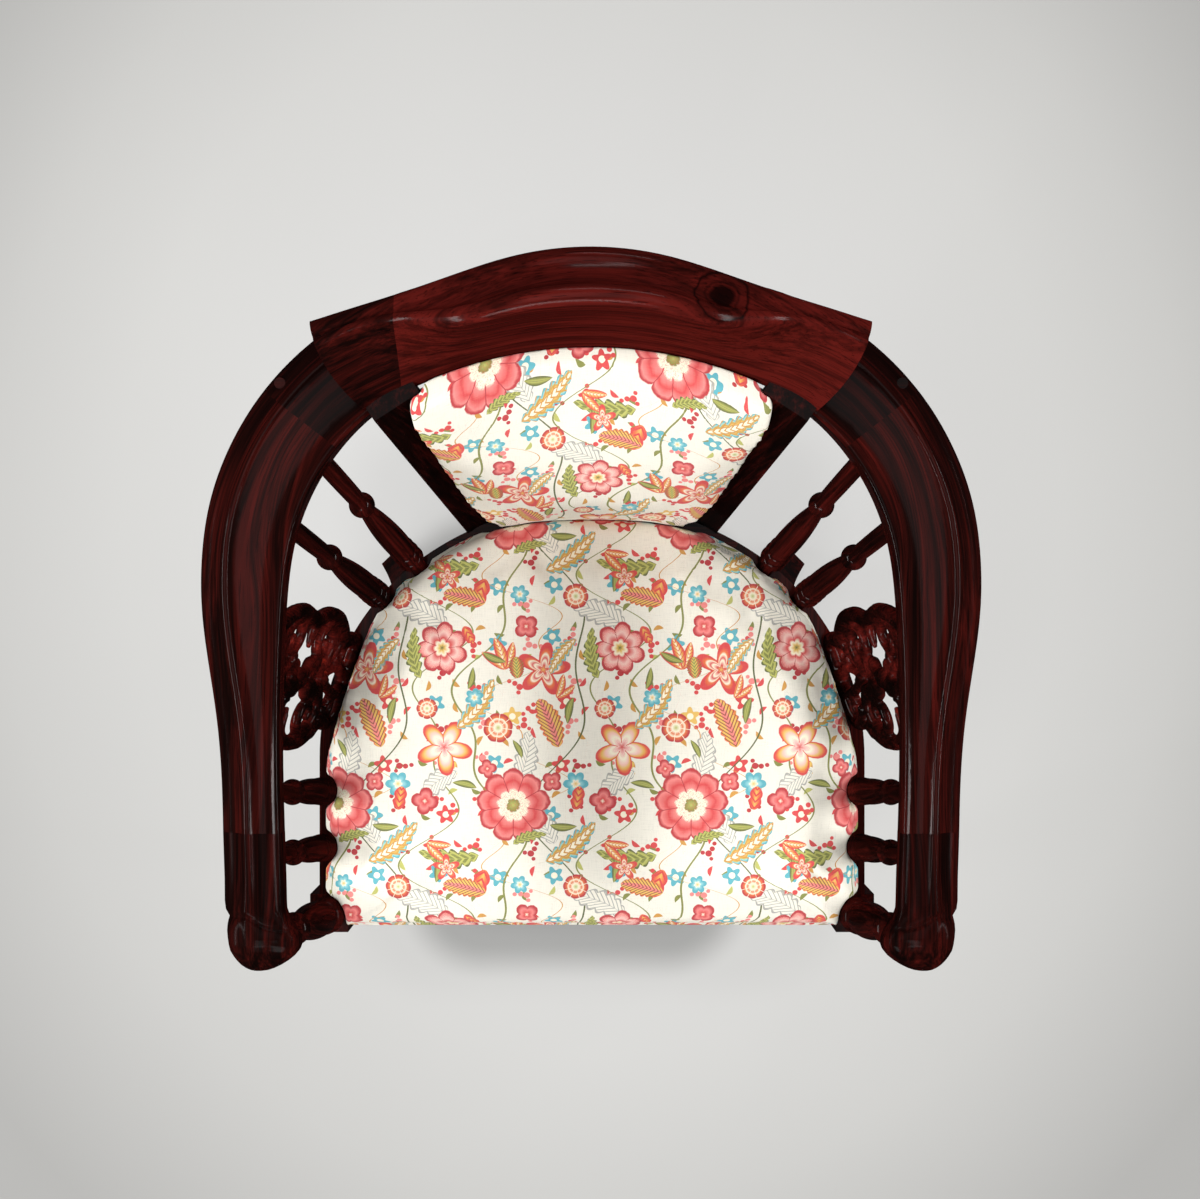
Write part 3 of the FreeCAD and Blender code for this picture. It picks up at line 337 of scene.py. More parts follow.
def grain_of_crest(graph):
    """Grain that follows the bend of the crest."""
    place = object_place(graph)
    x, y, z = graph.split(place)
    bend = graph.times(graph.times(x, x), 1.4)
    near = graph.math("EXPONENT", graph.math("DIVIDE", knot_distance(graph, place), -0.6 * knot_radius))
    push = graph.times(graph.minus(y, knot_place[1]), near)
    return graph.join(graph.minus(graph.math("ADD", y, bend), push), z, x)


def knot_distance(graph, place):
    """How far a point of the crest is from the knot's centre, seen from above."""
    return graph.vector("LENGTH", graph.vector("MULTIPLY", graph.vector("SUBTRACT", place, knot_place),
                                               (1.0, 1.0, 0.0)))


def with_knot(graph, colour):
    """A dark knot with rings round it in the grain."""
    place = object_place(graph)
    wobble = graph.noise(graph.scaled(place, 70.0))
    share = graph.math("DIVIDE", knot_distance(graph, place), knot_radius)
    share = graph.times_plus(graph.minus(wobble, 0.5), 0.36, share)
    return graph.mix(graph.ramp(share, knot_shades)[0], colour, knot_colour)


def painted_glint_tone(graph):
    """Painted highlight: lighter and redder towards the middle of a carving's thickness, on the walls of its
    piercings, and darker on its front and back faces.
    """
    depth = graph.math("ABSOLUTE", graph.split(grain_stored(graph))[2])
    return graph.times_plus(depth, -0.42 / (splat_thickness / 2), 0.19)


def grain_along(axis, lean=(0.0, 0.0)):
    """Grain along X, Y or Z, where an upright piece may lean."""
    def layout(graph):
        place = object_place(graph)
        x, y, z = graph.split(place)
        if axis == "x":
            return graph.join(y, z, x)
        if axis == "y":
            return graph.join(x, z, y)
        shift = graph.scaled((lean[0], lean[1], 0.0), z)
        return graph.vector("SUBTRACT", place, shift)
    return layout


# Rosewood's figure: how often each layer turns per metre (across, depth, along), its share, and its colours
wander_scale, wander_size = (20.0, 12.0, 3.2), (0.050, 0.02, 0.0)
broad_scale, broad_share = (85.0, 60.0, 2.0), 0.74
fine_scale, fine_share = (430.0, 300.0, 7.0), 0.46
patch_scale, patch_share = (14.0, 12.0, 3.5), 0.30
pore_scale, pore_limit, pore_cover = (900.0, 700.0, 26.0), 0.36, 0.55
pore_colour = (0.0025, 0.0010, 0.0009, 1.0)
rosewood_depth = 0.26
rosewood_stops = [
    (0.26, (0.0030, 0.0012, 0.0010)), (0.38, (0.0070, 0.0017, 0.0014)), (0.46, (0.0160, 0.0025, 0.0020)),
    (0.54, (0.0290, 0.0034, 0.0026)), (0.64, (0.0500, 0.0050, 0.0038)), (0.78, (0.0900, 0.0080, 0.0060))]

# The top stop, a bright red, is red grain and, where the tone is lifted, the splats' painted highlight.
rosewood_and_glint_stops = rosewood_stops + [(1.0, (0.300, 0.0220, 0.0110))]


def rosewood(name, layout, seed, tone=0.0, figure=1.0, gloss=0.13, polish=0.11, stops=rosewood_stops):
    """Lacquered rosewood: black and red streaks along the grain, looped where the figure is strong."""
    material, graph, surface = new_material(name)
    # A tone given as a function is worked out for each point; the splats' one is a painted highlight.
    if callable(tone):
        tone = tone(graph)
    place = graph.vector("ADD", layout(graph), (seed * 0.37, seed * 0.11, seed * 1.7))
    wander = graph.noise(place, wander_scale, detail=1.5)
    sway = graph.scaled(tuple(size * figure for size in wander_size), wander)
    bent = graph.vector("ADD", place, sway)
    broad = graph.noise(bent, broad_scale, detail=3.0, roughness=0.6)
    fine = graph.noise(bent, fine_scale, detail=2.0)
    pores = graph.noise(place, pore_scale, detail=1.0)
    patch = graph.noise(place, patch_scale, detail=1.0)
    mixed = graph.times_plus(fine, fine_share, graph.times_plus(patch, patch_share, tone))
    value = graph.times_plus(broad, broad_share, graph.minus(mixed, rosewood_depth))
    colour = graph.ramp(value, stops)[0]
    dark = graph.times(graph.math("LESS_THAN", pores, pore_limit), pore_cover)
    colour = graph.mix(dark, colour, pore_colour)
    if layout is grain_of_crest:
        colour = with_knot(graph, colour)
    graph.put(surface.inputs["Base Color"], colour)
    set_sockets(surface, Roughness=0.5, Specular_IOR_Level=0.0, Coat_Weight=gloss, Coat_Roughness=polish,
                Coat_IOR=1.45)
    return material


def mottled(name, layout, scale, detail, dark, light, spread=0.2, **values):
    """A finish of two colours and one noise: bare wood, foam, lining cloth or zinc."""
    material, graph, surface = new_material(name)
    share = graph.noise(layout(graph), scale, detail=detail)
    shades = graph.ramp(share, [(0.5 - spread, dark), (0.5 + spread, light)])
    graph.put(surface.inputs["Base Color"], shades[0])
    set_sockets(surface, **values)
    return material


def bare_wood(name, dark, light, axis):
    """Plain wood with straight grain, for hidden blocks, dowels and boards."""
    return mottled(name, grain_along(axis), (260.0, 260.0, 9.0), 3.0, dark, light, Roughness=0.62)


# Printed linen: a made-up blossom and vine pattern, drawn by shader nodes
def ink(red, green, blue):
    """A print colour from its 0-255 values."""
    shares = [value / 255 for value in (red, green, blue)]
    return tuple(c / 12.92 if c < 0.0405 else ((c + 0.055) / 1.055) ** 2.4 for c in shares)


linen = ink(239, 234, 220)
coral, deep_coral = ink(214, 58, 62), ink(186, 34, 48)
pink, pale_pink = ink(236, 132, 128), ink(246, 196, 186)
cream, gold, ochre, orange = ink(250, 240, 214), ink(230, 186, 92), ink(206, 148, 60), ink(228, 116, 60)
teal, pale_teal = ink(84, 172, 186), ink(150, 208, 212)
olive, pale_olive, dark_olive = ink(128, 132, 56), ink(186, 186, 96), ink(84, 92, 40)
outline, grey = ink(150, 62, 44), ink(168, 166, 158)


def motif_tree(name):
    """A node group that takes a place and gives an ink and how much of it covers the cloth."""
    tree = bpy.data.node_groups.new(name, "ShaderNodeTree")
    for socket, way, kind in (("Place", "INPUT", "Vector"), ("Ink", "OUTPUT", "Color"),
                              ("Cover", "OUTPUT", "Float")):
        tree.interface.new_socket(socket, in_out=way, socket_type="NodeSocket" + kind)
    source = tree.nodes.new("NodeGroupInput").outputs["Place"]
    end = tree.nodes.new("NodeGroupOutput")
    return Graph(tree), source, end


def inked(graph, end, colour, cover):
    """Gives a motif its ink and its cover, and returns its node group."""
    graph.put(end.inputs["Ink"], colour)
    graph.put(end.inputs["Cover"], cover)
    return graph.tree


def edge_ramp(graph, value, stops):
    """A ramp of inks that ends clear at 1, as colour and cover."""
    placed = [(at, colour + (1.0,)) for at, colour in stops]
    last = placed[-1][1]
    placed += [(0.97, last), (1.0, last[:3] + (0.0,))]
    return graph.ramp(value, placed)


def blossom(name, petals, depth, pointed, stops, ragged=0.04, lines=None, dots=None):
    """A flower seen from above: petals round a middle."""
    graph, place, end = motif_tree(name)
    x, y = graph.split(place)[:2]
    radius = graph.vector("LENGTH", place)
    angle = graph.math("ARCTAN2", y, x)
    wave = graph.math("ABSOLUTE", graph.math("COSINE", graph.times(angle, petals / 2)))
    lobe = graph.math("POWER", wave, pointed)
    reach = graph.times_plus(lobe, depth, 1 - depth)
    torn = graph.noise(graph.scaled(place, 5.0), detail=2.0)
    radius = graph.times_plus(graph.minus(torn, 0.5), ragged * 2, radius)
    share = graph.math("DIVIDE", radius, reach)
    colour, cover = edge_ramp(graph, share, stops)
    if lines:
        groove = graph.math("LESS_THAN", graph.times(wave, radius), lines[0])
        groove = graph.times(groove, graph.math("GREATER_THAN", share, lines[1]))
        colour = graph.mix(groove, colour, lines[2] + (1.0,))
    if dots:
        cell = graph.node("TexVoronoi", graph.scaled(place, dots[0]))
        spot = graph.math("LESS_THAN", cell.outputs["Distance"], dots[1])
        ring = graph.times(graph.math("GREATER_THAN", share, dots[2]),
                          graph.math("LESS_THAN", share, dots[3]))
        colour = graph.mix(graph.times(spot, ring), colour, dots[4] + (1.0,))
    return inked(graph, end, colour, cover)


def leaf(name, width, bend, teeth, tooth_depth, stops, taper=0.8, veins=None):
    """A leaf from 0 to 1 along its own X, bent upwards, with a toothed edge."""
    graph, place, end = motif_tree(name)
    x, y = graph.split(place)[:2]
    squared = graph.times(x, x)
    side = graph.times_plus(squared, -bend, y)
    inside = graph.math("MAXIMUM", graph.times(x, graph.minus(1.0, x)), 0.0)
    body = graph.times(graph.math("POWER", inside, taper), width * 4 ** taper)
    tooth = graph.math("ABSOLUTE", graph.math("SINE", graph.times(x, teeth * math.pi)))
    reach = graph.times(body, graph.times_plus(tooth, tooth_depth, 1 - tooth_depth))
    share = graph.math("DIVIDE", graph.math("ABSOLUTE", side), graph.math("MAXIMUM", reach, 0.0005))
    colour, cover = edge_ramp(graph, share, stops)
    if veins:
        slant = graph.times_plus(graph.math("ABSOLUTE", side), -1.2, x)
        vein = graph.math("SINE", graph.times(slant, veins[0]))
        colour = graph.mix(graph.math("GREATER_THAN", vein, veins[1]), colour, veins[2] + (1.0,))
    return inked(graph, end, colour, cover)


def round_dots(graph, place, spots):
    """Round dots, each with its middle and its radius."""
    cover = 0.0
    for x, y, radius in spots:
        near = graph.math("LESS_THAN", graph.vector("DISTANCE", place, (x, y, 0.0)), radius)
        cover = graph.math("MAXIMUM", near, cover)
    return cover


def berries(name, colour):
    """Three small round berries."""
    graph, place, end = motif_tree(name)
    cover = round_dots(graph, place, berry_spots)
    return inked(graph, end, colour + (1.0,), cover)


# Flowers: name, petals, how deep and blunt they are cut, inks from the middle out, raggedness, lines, dots
flowers = [
    ("peony", 9, 0.20, 0.55, [
        (0.0, pale_olive), (0.17, olive), (0.20, cream), (0.40, cream), (0.46, pink), (0.66, coral),
        (0.86, pink), (0.93, deep_coral)], 0.07, (0.050, 0.42, deep_coral), (9.0, 0.30, 0.02, 0.46, coral)),
    ("poppy", 7, 0.30, 0.7, [
        (0.0, dark_olive), (0.12, gold), (0.26, cream), (0.36, coral), (0.60, pale_pink), (0.80, pink),
        (0.90, deep_coral)], 0.05, (0.045, 0.34, deep_coral), (12.0, 0.28, 0.55, 0.86, cream)),
    ("lotus", 5, 0.55, 1.2, [
        (0.0, coral), (0.22, pale_pink), (0.42, cream), (0.60, pale_pink), (0.74, gold), (0.84, orange),
        (0.92, coral)], 0.03, (0.035, 0.30, coral), (14.0, 0.24, 0.05, 0.34, deep_coral)),
    ("wheel", 8, 0.10, 0.5, [
        (0.0, pale_olive), (0.26, cream), (0.44, orange), (0.62, cream), (0.68, orange), (0.90, deep_coral)],
        0.02, (0.09, 0.30, cream)),
    ("aster", 5, 0.62, 1.5, [
        (0.0, gold), (0.16, coral), (0.34, cream), (0.42, coral), (0.56, cream), (0.64, orange),
        (0.80, coral)], 0.02),
    ("speedwell", 6, 0.35, 0.9, [
        (0.0, gold), (0.30, cream), (0.40, pale_teal), (0.74, teal)], 0.03),
    ("pink_bud", 4, 0.35, 0.8, [
        (0.0, cream), (0.20, coral), (0.55, pink), (0.84, deep_coral)], 0.05)]
# Leaves: name, width, bend, teeth and their depth, inks from the midrib out, taper, veins
leaves = [
    ("plume", 0.21, 0.32, 7, 0.34, [
        (0.0, cream), (0.26, cream), (0.30, outline), (0.36, gold), (0.56, ochre), (0.62, pale_olive),
        (0.72, pale_teal), (0.84, teal)], 0.7, (60.0, 0.55, ochre)),
    ("golden", 0.24, 0.12, 8, 0.22, [
        (0.0, pink), (0.22, pink), (0.34, gold), (0.74, gold), (0.86, orange)], 0.6, (70.0, 0.5, outline)),
    ("fern", 0.20, -0.42, 6, 0.42, [
        (0.0, pale_olive), (0.10, dark_olive), (0.16, olive), (0.46, olive), (0.60, pale_olive),
        (0.84, dark_olive)], 0.75, (52.0, 0.35, pale_olive)),
    ("leaf", 0.17, 0.30, 1, 0.0, [
        (0.0, dark_olive), (0.10, pale_olive), (0.55, olive), (0.86, dark_olive)], 0.9),
    ("petal", 0.19, 0.22, 1, 0.0, [
        (0.0, cream), (0.30, gold), (0.62, orange), (0.84, coral)], 0.7, (46.0, 0.75, coral)),
    ("bell", 0.30, 0.0, 2, 0.25, [
        (0.0, gold), (0.40, orange), (0.80, coral)], 0.5, (24.0, 0.35, coral)),
    ("lace", 0.27, 0.30, 6, 0.30, [
        (0.0, grey), (0.04, linen), (0.80, linen), (0.84, grey)], 0.7, (64.0, 0.72, grey)),
    ("cone", 0.36, 0.0, 9, 0.12, [
        (0.0, pale_olive), (0.30, gold), (0.62, coral), (0.86, deep_coral)], 0.5, (40.0, 0.35, olive))]


def motifs():
    """Every kind of printed motif."""
    kinds = {values[0]: blossom(*values) for values in flowers}
    kinds.update({values[0]: leaf(*values) for values in leaves})
    kinds["berries"] = berries("berries", coral)
    return kinds


# Berries: middles and radii; and the inks of the small sprigs, by chance
berry_spots = [(0.0, 0.6, 0.34), (0.5, -0.1, 0.3), (-0.4, -0.4, 0.26)]
sprig_spots = [(0.0, 0.0, 0.075), (0.13, 0.05, 0.06), (0.24, 0.13, 0.05), (-0.10, 0.09, 0.05),
               (-0.02, -0.14, 0.045)]
sprig_inks = {"leaf": [(0.0, olive), (0.35, pale_olive), (0.6, ochre), (0.8, coral)],
              "berries": [(0.0, coral), (0.5, pink), (0.75, deep_coral)],
              "flower": [(0.0, teal), (0.4, coral), (0.7, gold)]}

# Where each motif stands on the cloth's repeat: kind, across, up, turn, size, in millimetres and degrees
repeat = (165.0, 270.0)
layout = [
    ("lace", 96, 118, 60, 46), ("lace", 30, 262, 140, 50), ("lace", 40, 128, 200, 42),
    ("lace", 130, 60, 110, 44), ("fern", 60, 50, 200, 52), ("plume", 122, 44, 20, 56),
    ("peony", 92, 96, 10, 35), ("leaf", 58, 112, 150, 22), ("leaf", 126, 78, -20, 24),
    ("lotus", 28, 150, 60, 27), ("plume", 40, 168, 35, 54), ("golden", 134, 150, 105, 48),
    ("wheel", 78, 168, 15, 14), ("aster", 120, 222, 80, 26), ("petal", 84, 222, 60, 26),
    ("petal", 84, 222, 95, 30), ("petal", 84, 222, 130, 26), ("poppy", 26, 242, 30, 25),
    ("fern", 6, 214, 120, 44), ("bell", 66, 36, 250, 28), ("leaf", 148, 196, 240, 24),
    ("leaf", 50, 204, 60, 20), ("speedwell", 150, 116, 0, 12), ("speedwell", 56, 196, 20, 9),
    ("pink_bud", 104, 262, 40, 12), ("pink_bud", 10, 100, 80, 13), ("wheel", 150, 20, 40, 12),
    ("berries", 36, 92, 0, 7), ("berries", 110, 186, 90, 7), ("berries", 146, 248, 30, 6),
    ("leaf", 100, 140, 100, 18), ("leaf", 20, 24, 70, 22), ("petal", 12, 62, 300, 24),
    ("petal", 12, 62, 340, 22), ("bell", 150, 92, 80, 22), ("pink_bud", 68, 130, 10, 9),
    ("aster", 30, 38, 20, 13), ("golden", 66, 14, 160, 40), ("cone", 96, 214, 95, 20),
    ("pink_bud", 128, 118, 50, 10), ("speedwell", 98, 22, 10, 9), ("fern", 92, 60, 40, 30),
    ("petal", 132, 196, 20, 20), ("petal", 132, 196, 60, 22), ("leaf", 64, 238, 320, 22),
    ("bell", 46, 262, 300, 18), ("wheel", 12, 186, 0, 10), ("plume", 150, 250, 215, 38)]


def after(graph, cloth, place):
    """The same place, but worked out after the cloth so far, which keeps the shader's memory small."""
    return graph.vector("MULTIPLY_ADD", cloth, (1e-7, 1e-7, 1e-7), place)


def stamp(graph, cloth, place, group, middle, turn, size):
    """Prints one motif on the cloth, wherever the repeat puts it."""
    width, height = repeat
    turned = graph.vector("MULTIPLY_ADD", after(graph, cloth, place), (1000 / width, 1000 / height, 0.0),
                          (0.5 - middle[0] / width, 0.5 - middle[1] / height, 0.0))
    cell = graph.vector("FRACTION", turned)
    local = graph.vector("MULTIPLY_ADD", cell, (width / size, height / size, 0.0),
                         (-width / 2 / size, -height / 2 / size, 0.0))
    used = graph.tree.nodes.new("ShaderNodeGroup")
    used.node_tree = group
    graph.put(used.inputs["Place"], graph.spin(local, -math.radians(turn)))
    return graph.mix(used.outputs["Cover"], cloth, used.outputs["Ink"])


def sprigs(graph, cloth, place, pitch, seed, kind):
    """Small leaves, berries or flowers strewn over the cloth, one in each square of a jittered grid."""
    across, up = round(repeat[0] / pitch), round(repeat[1] / pitch)
    squares = (1000 / repeat[0] * across, 1000 / repeat[1] * up, 0.0)
    scaled = graph.vector("MULTIPLY", after(graph, cloth, place), squares)
    cell = graph.vector("WRAP", graph.vector("FLOOR", scaled), (across, up, 1.0), (0.0, 0.0, 0.0))
    square = graph.vector("ADD", cell, (seed, seed * 2, 0.5))
    dice = graph.node("TexWhiteNoise", square, noise_dimensions="3D")
    chance = dice.outputs["Value"]
    red, green, blue = graph.split(dice.outputs["Color"])
    shift = graph.join(graph.times_plus(red, 0.4, 0.3), graph.times_plus(green, 0.4, 0.3))
    local = graph.vector("SUBTRACT", graph.vector("FRACTION", scaled), shift)
    spun = graph.spin(local, graph.times(blue, 2 * math.pi))
    x, y = graph.split(spun)[:2]
    if kind == "leaf":
        bend = graph.times_plus(graph.times(x, x), -1.6, y)
        body = graph.times_plus(graph.times(x, x), -1.9, 0.085)
        cover = graph.math("LESS_THAN", graph.math("ABSOLUTE", bend), body)
    elif kind == "berries":
        cover = round_dots(graph, spun, sprig_spots)
    else:
        radius = graph.vector("LENGTH", spun)
        wave = graph.math("COSINE", graph.times(graph.math("ARCTAN2", y, x), 5.0))
        cover = graph.math("LESS_THAN", radius, graph.times_plus(wave, 0.035, 0.13))
    tint = graph.ramp(chance, sprig_inks[kind], "CONSTANT")[0]
    if kind == "flower":
        tint = graph.mix(graph.math("LESS_THAN", radius, 0.055), tint, cream + (1.0,))
    return graph.mix(cover, cloth, tint)


def vine(graph, cloth, place, start, sways, turns, shift, colour, thick):
    """A thin stem that wanders up the cloth."""
    x, y = graph.split(after(graph, cloth, place))[:2]
    climb = graph.times_plus(y, 1000 / repeat[1] * 2 * math.pi, shift)
    bend = graph.times(graph.math("SINE", graph.times(climb, turns[0])), sways[0])
    curl = graph.times(graph.math("COSINE", graph.times(climb, turns[1])), sways[1])
    off = graph.minus(graph.times_plus(x, 1000 / repeat[0], 0.5 - start / repeat[0]),
                     graph.math("ADD", bend, curl))
    near = graph.math("ABSOLUTE", graph.minus(graph.math("FRACT", off), 0.5))
    return graph.mix(graph.math("LESS_THAN", near, thick / repeat[0]), cloth, colour + (1.0,))


def print_upright(graph):
    """The place on the cloth of an upright sheet: across and height."""
    x, _, z = graph.split(object_place(graph))
    return graph.join(x, z)


def printed_linen(name, place_on_cloth, kinds):
    """Slubby off-white linen with the print, for seat and back."""
    material, graph, surface = new_material(name)
    place = place_on_cloth(graph)
    slub_across = graph.noise(place, (90.0, 1500.0, 1.0), detail=2.0)
    slub_along = graph.noise(place, (1500.0, 90.0, 1.0), detail=2.0)
    weave = graph.math("ADD", slub_across, slub_along)
    dull, bright = (tuple(min(c * k, 1.0) for c in linen) for k in (0.86, 1.05))
    cloth = graph.ramp(graph.times(weave, 0.5), [(0.30, dull), (0.48, linen), (0.70, bright)])[0]
    cloth = sprigs(graph, cloth, place, 24.0, 1.7, "leaf")
    cloth = sprigs(graph, cloth, place, 41.0, 4.9, "berries")
    cloth = sprigs(graph, cloth, place, 55.0, 8.3, "flower")
    cloth = vine(graph, cloth, place, 70, (0.17, 0.06), (1, 3), 0.4, olive, 0.95)
    cloth = vine(graph, cloth, place, 140, (0.14, 0.08), (1, 2), 2.6, dark_olive, 0.8)
    cloth = vine(graph, cloth, place, 20, (0.12, 0.10), (2, 3), 4.4, olive, 0.75)
    cloth = vine(graph, cloth, place, 100, (0.20, 0.09), (2, 5), 1.1, ochre, 0.5)
    for kind, x, y, turn, size in layout:
        cloth = stamp(graph, cloth, place, kinds[kind], (x, y), turn, size)
    fade = graph.times_plus(graph.minus(weave, 1.0), 0.10, 0.06)
    graph.put(surface.inputs["Base Color"], graph.mix(fade, cloth, linen + (1.0,)))
    set_sockets(surface, Roughness=0.85, Specular_IOR_Level=0.15, Sheen_Weight=0.08)
    bump = graph.node("Bump")
    set_sockets(bump, Strength=0.35, Distance=0.0004)
    graph.put(bump.inputs["Height"], weave)
    graph.put(surface.inputs["Normal"], bump.outputs[0])
    return material


# Camera, lights and floor
def make_camera():
    """The photograph's straight-down view."""
    data = bpy.data.cameras.new("camera")
    data.sensor_width = camera_sensor
    data.lens = camera_lens
    camera = new_object("camera", data)
    camera.location = camera_place
    bpy.context.scene.camera = camera


def softbox(name, place, wide, long, power):
    """A rectangular studio light aimed at the chair, its long side level."""
    data = bpy.data.lights.new(name, "AREA")
    data.shape = "RECTANGLE"
    data.size = long
    data.size_y = wide
    data.energy = power
    lamp = new_object(name, data)
    lamp.location = place
    lamp.rotation_euler = (Vector(light_aim) - Vector(place)).to_track_quat("-Z", "Y").to_euler()


def painted_floor_shadow(graph, place, middle, half, fade, least):
    """Painted soft shadow on the floor under the seat: full over a rectangle, gone after the fade."""
    away = graph.vector("ABSOLUTE", graph.vector("SUBTRACT", place, middle + (0.0,)))
    away = graph.vector("MAXIMUM", graph.vector("SUBTRACT", away, half + (1.0,)), (0.0, 0.0, 0.0))
    share = graph.vector("LENGTH", graph.vector("DIVIDE", away, fade + (1.0,)))
    return graph.ramp(share, [(0.0, (least,) * 3), (0.45, (least * 0.85 + 0.15,) * 3), (1.0, (1.0,) * 3)],
                      "EASE")[0]


def make_studio():
    """Narrow lights at both sides, a soft one in front, a wide one high above and a weak one behind, over a
    pale floor that glows with painted light and carries painted shadow under the seat.
    """
    for light in lights:
        softbox(*light)
    world = bpy.data.worlds.new("studio")
    world.use_nodes = True
    set_sockets(world.node_tree.nodes["Background"], Color=(0.95, 0.97, 1.0, 1.0), Strength=0.05)
    bpy.context.scene.world = world
    bpy.context.scene.view_settings.view_transform = "Standard"
    mesh = bpy.data.meshes.new("floor")
    corners = [(-floor_half, -floor_half, 0), (floor_half, -floor_half, 0), (floor_half, floor_half, 0),
               (-floor_half, floor_half, 0)]
    mesh.from_pydata(corners, [], [(0, 1, 2, 3)])
    floor = new_object("floor", mesh)
    material, graph, surface = new_material("pale_floor_painted_light")
    place = object_place(graph)
    # The floor's emission is painted light: a glow fading out from the oval's middle, darkened by painted
    # shadows under the seat.
    distance = graph.vector("LENGTH", graph.vector("MULTIPLY_ADD", place, *floor_oval))
    glow = graph.ramp(distance, painted_floor_glow)[0]
    # Painted shadows under the seat, laid over the painted glow.
    for shade in painted_floor_shadows:
        glow = graph.vector("MULTIPLY", glow, painted_floor_shadow(graph, place, *shade))
    set_sockets(surface, Base_Color=(0.15, 0.15, 0.147, 1.0), Roughness=0.9, Specular_IOR_Level=0.1,
                Emission_Strength=1.0)
    graph.put(surface.inputs["Emission Color"], glow)
    dress(floor, material)
    floor.visible_glossy = False


# Dressing of the solids that stay
def lean_of(name):
    """How far an upright piece leans per metre of rise, from its box."""
    low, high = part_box(name)
    side = -1.0 if name.endswith("left") else 1.0
    return (side * (high.x - low.x) / (high.z - low.z), (high.y - low.y) / (high.z - low.z))


def dress_solids():
    """Wood, cloth and metal for every solid."""
    seeds = {"arm_bow_back": 3, "arm_side_left": 5, "arm_side_right": 8, "arm_front_left": 13,
             "arm_front_right": 21}
    for name, seed in seeds.items():
        dress(nodes[name], rosewood(name, grain_of_bow, seed, -0.08 if name == "arm_bow_back" else -0.05))
    crest = (("crest_center", 4, 0.22), ("crest_end_left", 9, -0.02), ("crest_end_right", 4, 0.22))
    for name, seed, tone in crest:
        dress(nodes[name], rosewood(name, grain_of_crest, seed, tone, 1.0, 0.11, 0.16))
    upright = [n for n in nodes if n.startswith(("spindle", "front_baluster", "rear_leg", "front_leg",
                                                 "back_stile", "carved_splat"))]
    for seed, name in enumerate(sorted(upright)):
        lean = (0.0, 0.0) if name.startswith("front_leg") else lean_of(name)
        tone = -0.11 if name.startswith("back_stile") else -0.03
        dress(nodes[name], rosewood(name, grain_along("z", lean), 30 + seed, tone, 0.5))
    for seed, end in enumerate(("front", "back", "side_left", "side_right")):
        name = "seat_rail_" + end
        axis = "y" if "side" in name else "x"
        dress(nodes[name], rosewood(name, grain_along(axis), 60 + seed, -0.02, 0.5))
    dress(nodes["screw_plugs"], rosewood("screw_plugs", grain_along("x"), 77, -0.04, 0.3))
    beech = bare_wood("beech", (0.42, 0.26, 0.14), (0.60, 0.42, 0.26), "x")
    ply = bare_wood("plywood", (0.48, 0.33, 0.18), (0.66, 0.50, 0.31), "y")
    foam = bare_wood("foam", (0.78, 0.72, 0.52), (0.86, 0.80, 0.60), "x")
    for name in nodes:
        if name.endswith("dowels") or name.startswith("corner_block") or name == "back_bottom_rail":
            dress(nodes[name], beech)
        if name.endswith("screws"):
            zinc = mottled(name, object_place, (700.0,) * 3, 2.0, (0.42, 0.42, 0.40), (0.62, 0.61, 0.58),
                           Metallic=1.0, Roughness=0.35)
            dress(nodes[name], zinc)
    for name in ("seat_board", "back_panel"):
        dress(nodes[name], ply)
    for name in ("seat_foam", "back_pad_foam"):
        dress(nodes[name], foam)
    lining = mottled("lining", object_place, (900.0,) * 3, 1.0, (0.006,) * 3, (0.022, 0.021, 0.020),
                     spread=0.15, Roughness=0.9)
    dress(nodes["bottom_lining"], lining)


# Mesh helpers
def mesh_object(name, points, faces, grain=None):
    """A smooth mesh object from points and faces, with its grain direction kept in an attribute."""
    mesh = bpy.data.meshes.new(name)
    mesh.from_pydata([tuple(p) for p in points], [], [tuple(f) for f in faces])
    made = new_object(name, mesh)
    if grain is not None:
        store(made, "grain", grain)
    smooth(made)
    return made


def smooth(piece):
    """Smooth shading all over."""
    piece.data.polygons.foreach_set("use_smooth", [True] * len(piece.data.polygons))


def lengths(vectors):
    """The length of each row, as a column."""
    return np.linalg.norm(vectors, axis=1, keepdims=True)


def points_of(piece):
    """The mesh points of an object as an array."""
    flat = np.empty(len(piece.data.vertices) * 3)
    piece.data.vertices.foreach_get("co", flat)
    return flat.reshape(-1, 3)


def set_points(piece, points):
    """Moves the mesh points of an object."""
    piece.data.vertices.foreach_set("co", np.asarray(points, dtype=float).ravel())
    piece.data.update()


def store(piece, name, vectors):
    """Keeps a vector for each point of a mesh."""
    attribute = piece.data.attributes.new(name, "FLOAT_VECTOR", "POINT")
    attribute.data.foreach_set("vector", np.asarray(vectors, dtype=np.float32).ravel())


def tube_grid(rows):
    """Points and faces of a tube: rows of points, each a closed ring, with the two end rings capped."""
    rows = np.asarray(rows)
    count, ring, _ = rows.shape
    faces = []
    for i in range(count - 1):
        for j in range(ring):
            k = (j + 1) % ring
            faces.append((i * ring + j, (i + 1) * ring + j, (i + 1) * ring + k, i * ring + k))
    faces.append(tuple(range(ring)))
    faces.append(tuple(reversed(range((count - 1) * ring, count * ring))))
    return rows.reshape(-1, 3), faces


def modify(piece, kind, keep=False, **settings):
    """Adds a modifier, and unless it is kept, puts the modified mesh in place of the plain one."""
    modifier = piece.modifiers.new(kind.lower(), kind)
    for key, value in settings.items():
        setattr(modifier, key, value)
    if not keep:
        depsgraph = bpy.context.evaluated_depsgraph_get()
        made = bpy.data.meshes.new_from_object(piece.evaluated_get(depsgraph))
        piece.modifiers.clear()
        piece.data = made
        smooth(piece)


